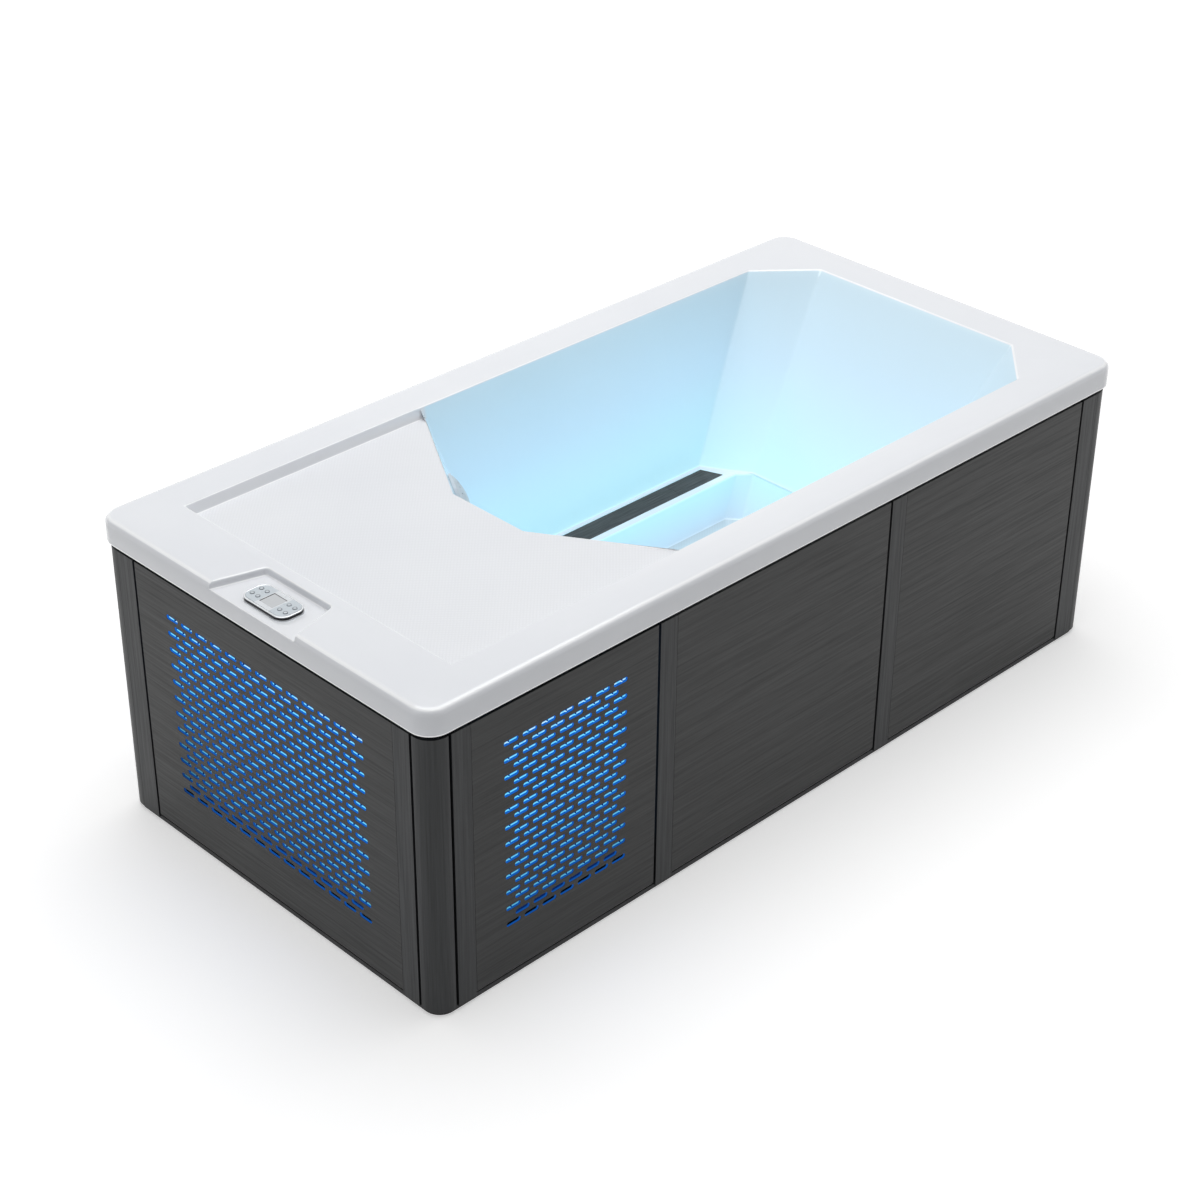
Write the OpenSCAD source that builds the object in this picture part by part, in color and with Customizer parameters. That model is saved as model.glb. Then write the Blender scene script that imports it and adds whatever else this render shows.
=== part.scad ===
// Cold plunge tub with its own chiller.
// A moulded tub with a rim, deck and basin sits on a welded frame inside a panelled cabinet.
// The machine bay is under the deck, at the near end.
// Frame: origin at the middle of the base, +X to the backrest end, +Y to the back, +Z up.

/* [Tub outline] */
// Length over the rim
rim_l = 2000; // [1960:5:2100]
// Width over the rim
rim_w = 980; // [960:5:1060]
// Height of the rim above the floor
rim_h = 690; // [670:5:760]
// Height of the rim's outer lip
lip_h = 55; // [45:1:70]
// Corner radius of the rim, seen from above
rim_corner_r = 46; // [36:1:60]
// Rounding of the rim's top edge
rim_round_r = 14; // [10:1:20]
// Wall of the moulded tub
shell_t = 8; // [6:0.5:9]

/* [Deck] */
// From the near end of the rim to the middle of the deck's free edge
deck_l = 584; // [570:2:600]
// Flat rim between the near end and the deck's recess
deck_margin = 143; // [135:1:160]
// How far the deck lies below the rim
deck_drop = 25; // [18:1:32]
// Straight middle part of the deck's free edge
deck_edge_w = 216; // [190:2:240]
// Run of the deck's two slanted edges along the tub
deck_edge_run = 174; // [150:2:190]

/* [Basin] */
// Flat rim along the two long sides
side_rim_w = 97; // [90:1:105]
// Flat rim at the backrest end
far_rim_w = 103; // [96:1:120]
// Straight middle part of the basin's far edge
far_edge_w = 560; // [500:5:600]
// Run of the far corners' slanted edges along the tub
far_corner_run = 128; // [100:2:150]
// From the rim down to the ledges
ledge_depth = 394; // [380:2:410]
// From the rim down to the floor of the foot well
floor_depth = 495; // [485:1:505]
// How far the side walls lean in down to the ledges
side_lean = 88; // [75:1:95]
// How far the backrest leans in down to the ledges
far_lean = 309; // [280:1:330]
// How far the wall under the deck leans in down to the ledges
near_lean = 111; // [100:1:125]
// Straight far wall at ledge height
low_far_edge_w = 380; // [340:5:400]
// Run of the far corners at ledge height
low_far_run = 67; // [50:1:80]
// Straight near wall at ledge height
low_near_edge_w = 72; // [60:1:90]
// Run of the near corners at ledge height
low_near_run = 165; // [150:1:180]
// Foot well between the ledges
well_w = 434; // [420:2:450]

/* [Ledge covers] */
// Width of each inlaid cover
cover_w = 52; // [46:1:56]
// Thickness of each inlaid cover
cover_t = 7; // [5:0.5:9]
// Bare ledge in front of a cover
cover_front_margin = 20; // [16:1:24]

/* [Cabinet] */
// How far the lip stands out over the cabinet
lip_overhang = 6; // [4:0.5:9]
// Height of the base tray's edge
base_h = 10; // [8:0.5:14]
// How far the base tray steps in from the cabinet faces
base_inset = 6; // [4:0.5:8]
// Thickness of posts, strips and panels
panel_t = 12; // [10:0.5:14]
// Corner post on each face
post_w = 46; // [44:1:52]
// Outer radius of a corner post
post_r = 41; // [34:1:42]
// Width of the flat trim strips
strip_w = 45; // [38:1:50]
// Open groove beside a post or strip
groove_w = 6.5; // [4:0.5:8]
// Gap between the lip and the panels
top_gap = 10.5; // [8:0.5:14]
// Height of the bevel along the foot of a panel
bevel_h = 11; // [8:1:14]
// From the near end to the first middle strip of a long side
first_strip_x = 580; // [570:2:600]
// From the near end to the second middle strip of a long side
second_strip_x = 1251; // [1200:2:1300]

/* [Grilles] */
// Length of a slot
slot_l = 36; // [30:1:38]
// Height of a slot
slot_h = 10.5; // [8:0.5:12]
// Slot spacing along a row
slot_pitch = 46; // [44:0.5:48]
// Spacing of the rows
row_pitch = 18.65; // [17:0.05:20]
// Rows of slots
slot_rows = 23; // [19:2:23]
// Slots in a full row of the end grille
end_slots = 13; // [11:1:13]
// Slots in a full row of a side grille
side_slots = 7; // [5:1:7]
// Middle of the slot field above the floor
slot_mid_z = 338; // [330:1:346]

/* [Control pocket] */
// Opening of the pocket at the lip
pocket_outer_w = 255; // [240:5:270]
// Inner end of the pocket
pocket_inner_w = 191; // [180:1:200]
// From the lip to the pocket's inner end
pocket_run = 113; // [106:1:118]
// Depth of the pocket
pocket_depth = 15; // [13:0.5:17]
// Length of the control pad
pad_l = 130; // [126:1:136]
// Width of the control pad
pad_w = 68; // [66:1:72]
// Height of the control pad
pad_h = 9; // [8:0.5:10]
// Diameter of a button
button_d = 9.4; // [8:0.2:10]
// Travel of a button
button_travel = 1.2; // [0.8:0.1:1.6]

/* [Machine bay] */
// Outer radius of the water pipes
pipe_r = 20; // [16:0.5:22]
// Wall of the water pipes
pipe_t = 3; // [2:0.5:4]
// Radius of the drain pipe
drain_r = 16; // [15:0.5:17]
// Radius of the fan blades
fan_r = 150; // [130:1:155]
// Radius of the filter housing
filter_r = 75; // [65:1:80]
// Height of the filter housing
filter_h = 330; // [300:5:350]
// Radius of the compressor
compressor_r = 80; // [70:1:85]
// Height of the compressor
compressor_h = 230; // [200:5:250]
// Radius of the heat exchanger
exchanger_r = 62; // [55:1:65]
// Bore of the drain outlet
outlet_r = 12; // [10:0.5:13]
// Bore of the power gland
gland_r = 6; // [4:0.5:8]

/* [Hidden] */
$fn = 48;

// Overrun of every cut, and the thin slice that starts or ends a leaning wall
overrun = 2;
slice = 0.02;
// Clearances: a seated piece beside its seat, a tight joint between trims, a running fit
seat_gap = 0.3;
tight_gap = 0.6;
run_gap = 0.06;

// Levels
lip_z = rim_h - lip_h;
deck_z = rim_h - deck_drop;
ledge_z = rim_h - ledge_depth;
floor_z = rim_h - floor_depth;
panel_top_z = lip_z - top_gap;
panel_h = panel_top_z - base_h;
tray_floor_t = 6;

// Plan places
half_l = rim_l / 2;
half_w = rim_w / 2;
face_x = half_l - lip_overhang;
face_y = half_w - lip_overhang;
basin_half_w = half_w - side_rim_w;
far_x = half_l - far_rim_w;
deck_edge_x = -half_l + deck_l;
deck_start_x = -half_l + deck_margin;
low_half_w = basin_half_w - side_lean;
low_near_x = deck_edge_x + near_lean;
low_far_x = far_x - far_lean;
foot_lean = 22;
foot_far_lean = 45;
well_far_run = 30;
well_side_lean = 6;
corner_grow_share = 0.6;
well_crease = 1;

// Outline of the basin at one level, as eight corners from the near edge round
function section(near_x, near_w, near_run, side, end_x, end_w, end_run, grow = 0) = [
    [near_x - grow, -near_w / 2 - grow * corner_grow_share],
    [near_x + near_run - grow * corner_grow_share, -side - grow],
    [end_x - end_run + grow * corner_grow_share, -side - grow],
    [end_x + grow, -end_w / 2 - grow * corner_grow_share],
    [end_x + grow, end_w / 2 + grow * corner_grow_share],
    [end_x - end_run + grow * corner_grow_share, side + grow],
    [near_x + near_run - grow * corner_grow_share, side + grow],
    [near_x - grow, near_w / 2 + grow * corner_grow_share]];

// The near wall starts at the deck, so its line is carried on up to the rim
near_rise = near_lean * deck_drop / (ledge_depth - deck_drop);
function rim_section(grow = 0) = section(deck_edge_x - near_rise, deck_edge_w, deck_edge_run,
    basin_half_w, far_x, far_edge_w, far_corner_run, grow);
function ledge_section(grow = 0) = section(low_near_x, low_near_edge_w, low_near_run,
    low_half_w, low_far_x, low_far_edge_w, low_far_run, grow);

// The foot well is the middle strip of the ledge-height outline
well_half_w = well_w / 2;
well_near_run = low_near_run * (well_half_w - low_near_edge_w / 2) / (low_half_w - low_near_edge_w / 2);
function well_top_section(grow = 0) = section(low_near_x, low_near_edge_w, well_near_run,
    well_half_w, low_far_x, low_far_edge_w, well_far_run, grow);
function well_floor_section(grow = 0) = section(low_near_x + foot_lean, low_near_edge_w, well_near_run,
    well_half_w - well_side_lean, low_far_x - foot_far_lean, low_far_edge_w - foot_lean, well_far_run, grow);

// Straight-sided solid between two outlines; the upper one carries on up by its own height
module loft(low, low_z, high, high_z, high_h) hull() {
    translate([0, 0, low_z]) linear_extrude(slice) polygon(low);
    translate([0, 0, high_z]) linear_extrude(high_h) polygon(high);
}

// Slab with round corners in plan and a rounded top edge, standing on z = 0
module edge_profile(w, h, r) {
    translate([-w, 0]) square([2 * w, h - r]);
    translate([-w + r, 0]) square([2 * (w - r), h]);
    for (s = [-1, 1]) translate([s * (w - r), h - r]) circle(r);
}
module rounded_slab(l, w, h, corner_r, edge_r) {
    rotate([90, 0, 90]) linear_extrude(l - 2 * corner_r, center = true) edge_profile(w / 2, h, edge_r);
    rotate([90, 0, 0]) linear_extrude(w - 2 * corner_r, center = true) edge_profile(l / 2, h, edge_r);
    for (sx = [-1, 1]) for (sy = [-1, 1])
        translate([sx * (l / 2 - corner_r), sy * (w / 2 - corner_r), 0])
            rotate_extrude() intersection() {
                edge_profile(corner_r, h, edge_r);
                square([corner_r, h]);
            }
}

// Flat plate with round corners
module rounded_plate(l, w, h, r) linear_extrude(h) {
    square([l - 2 * r, w], center = true);
    square([l, w - 2 * r], center = true);
    for (sx = [-1, 1]) for (sy = [-1, 1]) translate([sx * (l / 2 - r), sy * (w / 2 - r)]) circle(r);
}

module tube(r_out, r_in, h) difference() {
    cylinder(r = r_out, h = h);
    translate([0, 0, -overrun]) cylinder(r = r_in, h = h + 2 * overrun);
}

module box(x0, x1, y0, y1, z0, z1) translate([x0, y0, z0]) cube([x1 - x0, y1 - y0, z1 - z0]);

// A straight round bar from one point to another, and a run of them with thicker elbows
module bar(a, b, r) {
    d = b - a;
    translate(a) rotate([0, acos(d[2] / norm(d)), atan2(d[1], d[0])]) cylinder(r = r, h = norm(d));
}
module run_solid(points, r, grow) {
    for (i = [0 : len(points) - 2]) bar(points[i], points[i + 1], r);
    for (i = [1 : len(points) - 2]) translate(points[i]) sphere(r + grow);
}
// Hollow run, open at both ends
module pipe_run(points, r, t) {
    last = len(points) - 1;
    first_way = (points[1] - points[0]) / norm(points[1] - points[0]);
    last_way = (points[last] - points[last - 1]) / norm(points[last] - points[last - 1]);
    bore = [for (i = [0 : last]) i == 0 ? points[0] - overrun * first_way
        : i == last ? points[last] + overrun * last_way : points[i]];
    difference() {
        run_solid(points, r, elbow_grow);
        run_solid(bore, r - t, elbow_grow / 2);
    }
}

// The slanted walls beside the deck's edge carry the water fittings.
// side is 1 at the back and -1 at the front; drop is measured down from the rim.
chamfer_rise = basin_half_w - deck_edge_w / 2;
chamfer_len = norm([deck_edge_run, chamfer_rise]);
function chamfer_top(side) = [deck_edge_x - near_rise + deck_edge_run / 2,
    side * (basin_half_w + deck_edge_w / 2) / 2, rim_h];
function chamfer_low(side) = [low_near_x + low_near_run / 2,
    side * (low_half_w + low_near_edge_w / 2) / 2, ledge_z];
chamfer_shift = (chamfer_low(1) - chamfer_top(1)) * [chamfer_rise, -deck_edge_run, 0] / chamfer_len;
chamfer_tilt = atan(chamfer_shift / ledge_depth);
function chamfer_turn(side) = -side * atan2(deck_edge_run, chamfer_rise);
function chamfer_normal(side) = [cos(chamfer_tilt) * cos(chamfer_turn(side)),
    cos(chamfer_tilt) * sin(chamfer_turn(side)), sin(chamfer_tilt)];
function chamfer_point(side, drop, out) = chamfer_top(side)
    + (chamfer_low(side) - chamfer_top(side)) * drop / ledge_depth
    + chamfer_normal(side) * out;
module on_chamfer(side, drop) translate(chamfer_point(side, drop, 0))
    rotate([0, 90 - chamfer_tilt, chamfer_turn(side)]) children();

// Water fittings
wall_gap = 0.5;
fitting_drop = 137;
suction_r = 60;
suction_flange_t = 5;
suction_dome_h = 20;
suction_tail_l = 60;
suction_slots = 16;
suction_slot_r = 3;
tail_r = 24;
jet_drop = 175;
jet_flange_r = 40;
jet_flange_t = 6;
jet_body_r = 32;
jet_tail_l = 50;
jet_ball_r = 22;
jet_ball_z = -8;
jet_ball_gap = 0.3;
jet_snout_r = 11;
jet_snout_z = 14;
jet_bore_r = 8;
light_z = 430;
light_r = 42;
light_flange_t = 7;
light_body_r = 34;
light_body_l = 34;

// Ledge covers: ends follow the slanted walls
cover_gap = 1.5;
cover_inner_y = well_half_w + cover_front_margin;
cover_end_inset = 22;
cover_end_slant = 20;
cover_seam_share = 0.78;
function cover_outline(grow) = [
    [low_near_x + low_near_run + cover_end_inset - grow, cover_inner_y + cover_w + grow],
    [low_near_x + low_near_run + cover_end_inset - 2 * cover_end_slant - grow, cover_inner_y - grow],
    [low_far_x - low_far_run + cover_end_slant / 2 + grow, cover_inner_y - grow],
    [low_far_x - low_far_run - cover_end_slant / 2 + grow, cover_inner_y + cover_w + grow]];

// Control pocket and pad
pad_from_end = 54;
pad_x = -half_l + pad_from_end;
pad_y = 1;
pocket_z = rim_h - pocket_depth;
pad_corner_r = 24;
pad_end_r = 76;
pad_rim = 5.5;
pad_face_t = 1.2;
button_hole_gap = 0.3;
button_proud = 1;
button_sunk = 2;
button_floor_gap = 2;
button_near_y = 32.5;
button_far_y = 49;
button_row_x = 11;
window_l = 38;
window_w = 36;
window_t = 1;
cable_hole_r = 8;
cable_hole_inset = 20;
cable_hole_x = pad_x + cable_hole_inset;
function button_place(i) = [pad_x + (i % 2 == 0 ? button_row_x : -button_row_x),
    pad_y + (i < 4 ? 1 : -1) * (i % 4 < 2 ? button_far_y : button_near_y)];

// Deck overflow hole in the recess wall
overflow_r = 4;
overflow_from_end = 303;
overflow_x = -half_l + overflow_from_end;
overflow_rise = 11;
overflow_z = deck_z + overflow_rise;

// Frame tubes
tube_w = 30;
rail_y = face_y - panel_t;
rail_x = face_x - panel_t;
top_rail_z = rim_h - shell_t - tube_w;
upright_inset = 80;
corner_upright_x = half_l - upright_inset;
end_upright_y = half_w - upright_inset;
bearer_from_end = 315;
bearer_x = -half_l + bearer_from_end;
// Bulkhead
bulkhead_clear = 31;
bulkhead_x = deck_edge_x - shell_t - bulkhead_clear;
bulkhead_t = 15;
bulkhead_top_gap = 7;
bulkhead_top_z = deck_z - shell_t - bulkhead_top_gap;
board_t = 25;
board_back = 2;
cradle_t = 50;
cradle_shares = [0.18, 0.5, 0.82];
cradle_notch_w = 90;
cradle_notch_h = 110;
// Screens and light bars
screen_d = 12;
screen_t = 8;
screen_border = 14;
screen_sheet_t = 1.5;
screen_foot_z = 112;
light_bar_h = 12;
light_bar_t = 9;
light_bar_d = 2;
light_bar_z = panel_top_z - light_bar_h;
fin_pitch = 24;
fin_t = 1.2;

// Places in the machine bay
elbow_grow = 4;
port_l = 14;
coil_from_end = 60;
coil_x = -half_l + coil_from_end;
coil_t = 40;
coil_y = 110;
coil_w = 360;
coil_z = 60;
coil_h = 420;
coil_tube_r = 5;
coil_fin_t = 6;
coil_fin_pitch = 12;
shroud_l = 45;
shroud_t = 3;
fan_gap = 4;
fan_hub_r = 42;
fan_hub_l = 26;
fan_blades = 5;
blade_w = 90;
blade_t = 3;
blade_pitch_angle = 28;
motor_r = 40;
motor_l = 52;
motor_shaft_r = 5;
spider_w = 14;
spider_t = 5;
compressor_from_end = 220;
compressor_x = -half_l + compressor_from_end;
compressor_from_front = 230;
compressor_y = -half_w + compressor_from_front;
compressor_round = 34;
compressor_seam = 5;
compressor_plate = 200;
compressor_plate_t = 5;
water_row_from_end = 380;
exchanger_x = -half_l + water_row_from_end;
filter_from_back = 160;
pump_from_filter = 210;
exchanger_from_pump = 240;
filter_y = half_w - filter_from_back;
pump_y = filter_y - pump_from_filter;
exchanger_y = pump_y - exchanger_from_pump;
exchanger_z = 60;
exchanger_h = 380;
exchanger_cap_t = 16;
exchanger_cap_step = 6;
filter_x = -half_l + water_row_from_end;
filter_z = 40;
filter_wall = 5;
filter_collar_w = 10;
filter_collar_r = filter_r + filter_collar_w;
filter_collar_h = 22;
filter_lid_h = 40;
filter_lid_grips = 12;
filter_grip_r = 5;
cartridge_r = 55;
cartridge_core_r = 16;
cartridge_pleats = 36;
cartridge_pleat_depth = 9;
cartridge_margin = 14;
pump_x = -half_l + water_row_from_end;
pump_z = 92;
pump_head_r = 60;
pump_head_l = 50;
pump_wall = 7;
pump_motor_r = 52;
pump_motor_l = 150;
pump_shaft_r = 6;
pump_foot_w = 90;
impeller_r = 44;
impeller_l = 20;
impeller_vanes = 6;
drain_from_edge = 105;
drain_x = low_near_x + drain_from_edge;
drain_start_z = floor_z - shell_t - drain_r;
drain_z = 70;
drain_run_from_end = 500;
drain_run_x = -half_l + drain_run_from_end;
valve_y = 215;
valve_l = 70;
valve_bore_r = 10;
outlet_l = 64;
valve_r = 27;
valve_ball_r = 20;
valve_gap = 0.3;
handle_l = 75;
handle_w = 18;
handle_t = 4;
stem_r = 6;
outlet_flange_r = 26;
outlet_flange_t = 5;
drain_tail_t = 3;
drain_tail_r = drain_r + drain_tail_t;
strainer_r = 38;
strainer_t = 3;
box_l = 90;
box_w = 200;
box_h = 260;
box_from_front = 170;
box_y = -half_w + box_from_front;
box_z = 100;
box_lid_t = 12;
gland_from_end = 150;
gland_x = -half_l + gland_from_end;
gland_z = 70;
gland_flange_r = 15;
gland_body_r = 11;
gland_l = 30;

// Faces of the cabinet: local x runs to the right seen from outside, local y goes in
module on_front() translate([0, -face_y, 0]) children();
module on_back() mirror([0, 1, 0]) on_front() children();
module on_near_end() translate([-face_x, 0, 0]) rotate([0, 0, -90]) children();
module on_far_end() mirror([1, 0, 0]) on_near_end() children();

// Pieces along a long side, as [start, end] in x
near_post_x = -half_l + lip_overhang + post_w;
strip_1 = [near_post_x + groove_w, near_post_x + groove_w + strip_w];
strip_2 = [-half_l + first_strip_x, -half_l + first_strip_x + strip_w];
strip_3 = [-half_l + second_strip_x, -half_l + second_strip_x + strip_w];
strip_4 = [-strip_1[1], -near_post_x - tight_gap];
panel_1 = [strip_1[1] + tight_gap, strip_2[0] - groove_w];
panel_2 = [strip_2[1] + tight_gap, strip_3[0] - groove_w];
panel_3 = [strip_3[1] + tight_gap, strip_4[0] - groove_w];
// Pieces along an end, left to right seen from outside
end_post_u = half_w - lip_overhang - post_w;
end_strip_right = [end_post_u - groove_w - strip_w, end_post_u - groove_w];
end_strip_left = [-end_post_u + tight_gap, -end_strip_right[0]];
end_panel = [end_strip_left[1] + groove_w, end_strip_right[0] - tight_gap];
end_field_u = 8;
side_field_from_end = 336.5;
side_field_x = -half_l + side_field_from_end;

module wall_strip(span) box(span[0], span[1], 0, panel_t, base_h, panel_top_z);

module foot_bevel(span) translate([span[0] - overrun, 0, base_h]) rotate([90, 0, 90])
    linear_extrude(span[1] - span[0] + 2 * overrun)
        polygon([[-overrun, -overrun], [panel_t * 2 / 3, -overrun], [panel_t * 2 / 3, 0], [0, bevel_h],
            [-overrun, bevel_h]]);

module plain_panel(span) difference() {
    wall_strip(span);
    foot_bevel(span);
}

module slot_shape() {
    square([slot_l - slot_h, slot_h], center = true);
    for (s = [-1, 1]) translate([s * (slot_l - slot_h) / 2, 0]) circle(slot_h / 2);
}

// Staggered rows of slots; every second row is one slot shorter
module slot_field(count) for (row = [0 : slot_rows - 1]) for (col = [0 : count - 1 - row % 2])
    translate([(col - (count - 1) / 2 + (row % 2) / 2) * slot_pitch, (row - (slot_rows - 1) / 2) * row_pitch])
        slot_shape();

// The back is thinned behind the slots, so that the light shows through them
grille_web = 5;
grille_margin = 12;
module grille_panel(span, field_u, count) difference() {
    translate([0, panel_t, 0]) rotate([90, 0, 0]) linear_extrude(panel_t) difference() {
        translate([span[0], base_h]) square([span[1] - span[0], panel_h]);
        translate([field_u, slot_mid_z]) slot_field(count);
    }
    half_u = (count - 1) / 2 * slot_pitch + slot_l / 2 + grille_margin;
    half_z = (slot_rows - 1) / 2 * row_pitch + slot_h / 2 + grille_margin;
    box(field_u - half_u, field_u + half_u, grille_web, panel_t + overrun, slot_mid_z - half_z, slot_mid_z + half_z);
    foot_bevel(span);
}

module tub_shell() color("whitesmoke") difference() {
    union() {
        // Rim with its down-turned lip, hollow underneath
        translate([0, 0, lip_z]) difference() {
            rounded_slab(rim_l, rim_w, lip_h, rim_corner_r, rim_round_r);
            translate([0, 0, -overrun]) rounded_slab(rim_l - 2 * shell_t, rim_w - 2 * shell_t,
                lip_h - shell_t + overrun, rim_corner_r - shell_t, rim_round_r - shell_t);
        }
        // Outside of the basin and of the foot well
        loft(ledge_section(shell_t), ledge_z - shell_t - cover_t, rim_section(shell_t), rim_h - shell_t, shell_t);
        loft(well_floor_section(shell_t), floor_z - shell_t, well_top_section(shell_t),
            ledge_z - shell_t - cover_t, shell_t);
        // Deck tray
        box(deck_start_x - shell_t, deck_edge_x + deck_edge_run, -basin_half_w - shell_t,
            basin_half_w + shell_t, deck_z - shell_t, rim_h);
        // Pocket tray
        pocket_body();
    }
    loft(ledge_section(), ledge_z, rim_section(), rim_h, overrun);
    loft(well_floor_section(-well_crease), floor_z, well_top_section(-well_crease), ledge_z, overrun);
    box(deck_start_x, deck_edge_x + deck_edge_run, -basin_half_w, basin_half_w, deck_z, rim_h + overrun);
    pocket_cut();
    for (side = [-1, 1]) scale([1, side, 1]) translate([0, 0, ledge_z - cover_t])
        linear_extrude(cover_t + overrun) polygon(cover_outline(cover_gap));
    // Bores for the fittings
    on_chamfer(1, fitting_drop) translate([0, 0, -suction_tail_l]) cylinder(r = tail_r + seat_gap, h = 2 * suction_tail_l);
    on_chamfer(-1, jet_drop) translate([0, 0, -jet_tail_l]) cylinder(r = jet_body_r + seat_gap, h = 2 * jet_tail_l);
    on_near_wall() translate([0, 0, -light_body_l]) cylinder(r = light_body_r + seat_gap, h = 2 * light_body_l);
    translate([drain_x, 0, floor_z - shell_t - overrun]) cylinder(r = drain_tail_r + seat_gap, h = shell_t + 2 * overrun);
    translate([cable_hole_x, pad_y, pocket_z - shell_t - overrun]) cylinder(r = cable_hole_r, h = shell_t + 2 * overrun);
    translate([overflow_x, basin_half_w - overrun, overflow_z]) rotate([-90, 0, 0])
        cylinder(r = overflow_r, h = shell_t + 2 * overrun);
}

// Pocket: open to the lip, narrower inwards
function pocket_outline(grow, start_x) = [[start_x, -pocket_outer_w / 2 - grow],
    [-half_l + pocket_run + grow, -pocket_inner_w / 2 - grow],
    [-half_l + pocket_run + grow, pocket_inner_w / 2 + grow],
    [start_x, pocket_outer_w / 2 + grow]];
module pocket_body() translate([0, 0, pocket_z - shell_t])
    linear_extrude(pocket_depth) polygon(pocket_outline(shell_t, -half_l + shell_t / 2));
module pocket_cut() translate([0, 0, pocket_z])
    linear_extrude(pocket_depth + overrun) polygon(pocket_outline(0, -half_l - overrun));

near_wall_tilt = atan(near_lean / (ledge_depth - deck_drop));
module on_near_wall() translate([deck_edge_x + near_lean * (deck_z - light_z) / (ledge_depth - deck_drop), 0, light_z])
    rotate([0, 90 - near_wall_tilt, 0]) children();

module base_tray() color("dimgray") difference() {
    rounded_plate(2 * (face_x - base_inset), 2 * (face_y - base_inset), base_h, post_r - base_inset);
    translate([0, 0, tray_floor_t]) rounded_plate(2 * (rail_x - tube_w - base_inset),
        2 * (rail_y - tube_w - base_inset), base_h, post_r - base_inset);
}

module frame() color("slategray") {
    for (z = [base_h, top_rail_z]) {
        for (s = [-1, 1]) {
            box(-rail_x + tube_w, rail_x - tube_w, s < 0 ? -rail_y : rail_y - tube_w,
                s < 0 ? -rail_y + tube_w : rail_y, z, z + tube_w);
            end_z = z == top_rail_z && s < 0 ? top_rail_z - pocket_depth : z;
            box(s < 0 ? -rail_x : rail_x - tube_w, s < 0 ? -rail_x + tube_w : rail_x,
                -rail_y + tube_w, rail_y - tube_w, end_z, end_z + tube_w);
        }
        for (sx = [-1, 1]) for (sy = [-1, 1])
            translate([sx * (rail_x - tube_w) - tube_w / 2, sy * (rail_y - tube_w) - tube_w / 2,
                z == base_h ? z : z - pocket_depth])
                cube([tube_w, tube_w, z == base_h ? tube_w : tube_w + pocket_depth]);
    }
    for (x = [-corner_upright_x, strip_2[0] + strip_w / 2, strip_3[0] + strip_w / 2, corner_upright_x])
        for (s = [-1, 1]) box(x - tube_w / 2, x + tube_w / 2, s < 0 ? -rail_y : rail_y - tube_w,
            s < 0 ? -rail_y + tube_w : rail_y, base_h + tube_w / 2, top_rail_z + tube_w / 2);
    for (s = [-1, 1]) for (t = [-1, 1])
        box(s < 0 ? -rail_x : rail_x - tube_w, s < 0 ? -rail_x + tube_w : rail_x,
            t * end_upright_y - tube_w / 2, t * end_upright_y + tube_w / 2, base_h + tube_w / 2, top_rail_z + tube_w / 2);
    box(bearer_x - tube_w / 2, bearer_x + tube_w / 2, -rail_y + tube_w / 2, rail_y - tube_w / 2,
        deck_z - shell_t - tube_w, deck_z - shell_t);
}

well_near_x = low_near_x + foot_lean;
well_far_x = low_far_x - foot_far_lean;
module basin_cradles() color("tan") for (share = cradle_shares)
    translate([well_near_x + share * (well_far_x - well_near_x), 0, 0]) difference() {
        box(-cradle_t / 2, cradle_t / 2, -well_half_w + well_side_lean, well_half_w - well_side_lean,
            tray_floor_t, floor_z - shell_t);
        box(-cradle_t, cradle_t, -cradle_notch_w / 2, cradle_notch_w / 2, 0, cradle_notch_h);
        translate([-cradle_t, 0, cradle_notch_h]) rotate([0, 90, 0]) cylinder(d = cradle_notch_w, h = 2 * cradle_t);
    }

suction_end = chamfer_point(1, fitting_drop, -suction_tail_l);
jet_end = chamfer_point(-1, jet_drop, -jet_tail_l);
suction_bend = chamfer_point(1, fitting_drop, -suction_tail_l - pipe_r * 2);
jet_bend = chamfer_point(-1, jet_drop, -jet_tail_l - pipe_r * 2);
pipe_hole_gap = 1;
pipe_hole_r = pipe_r + pipe_hole_gap;
drain_hole_r = drain_r + pipe_hole_gap;
module bay_bulkhead() color("burlywood") difference() {
    box(bulkhead_x, bulkhead_x + bulkhead_t, -rail_y + tube_w + seat_gap, rail_y - tube_w - seat_gap,
        base_h, bulkhead_top_z);
    for (p = [suction_bend, jet_bend]) translate([bulkhead_x - overrun, p[1], p[2]]) rotate([0, 90, 0])
        cylinder(r = pipe_hole_r, h = bulkhead_t + 2 * overrun);
    translate([bulkhead_x - overrun, 0, drain_z]) rotate([0, 90, 0])
        cylinder(r = drain_hole_r, h = bulkhead_t + 2 * overrun);
}

board_low_z = base_h + tube_w + seat_gap;
board_high_z = top_rail_z - seat_gap;
upright_xs = [-corner_upright_x, strip_2[0] + strip_w / 2, strip_3[0] + strip_w / 2, corner_upright_x];
upright_clear = tube_w / 2 + seat_gap;
module insulation_boards() color("silver") {
    for (i = [1, 2]) for (s = [-1, 1]) scale([1, s, 1])
        box(upright_xs[i] + upright_clear, upright_xs[i + 1] - upright_clear,
            rail_y - board_back - board_t, rail_y - board_back, board_low_z, board_high_z);
    box(rail_x - board_back - board_t, rail_x - board_back, -end_upright_y + upright_clear,
        end_upright_y - upright_clear, board_low_z, board_high_z);
}

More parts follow.
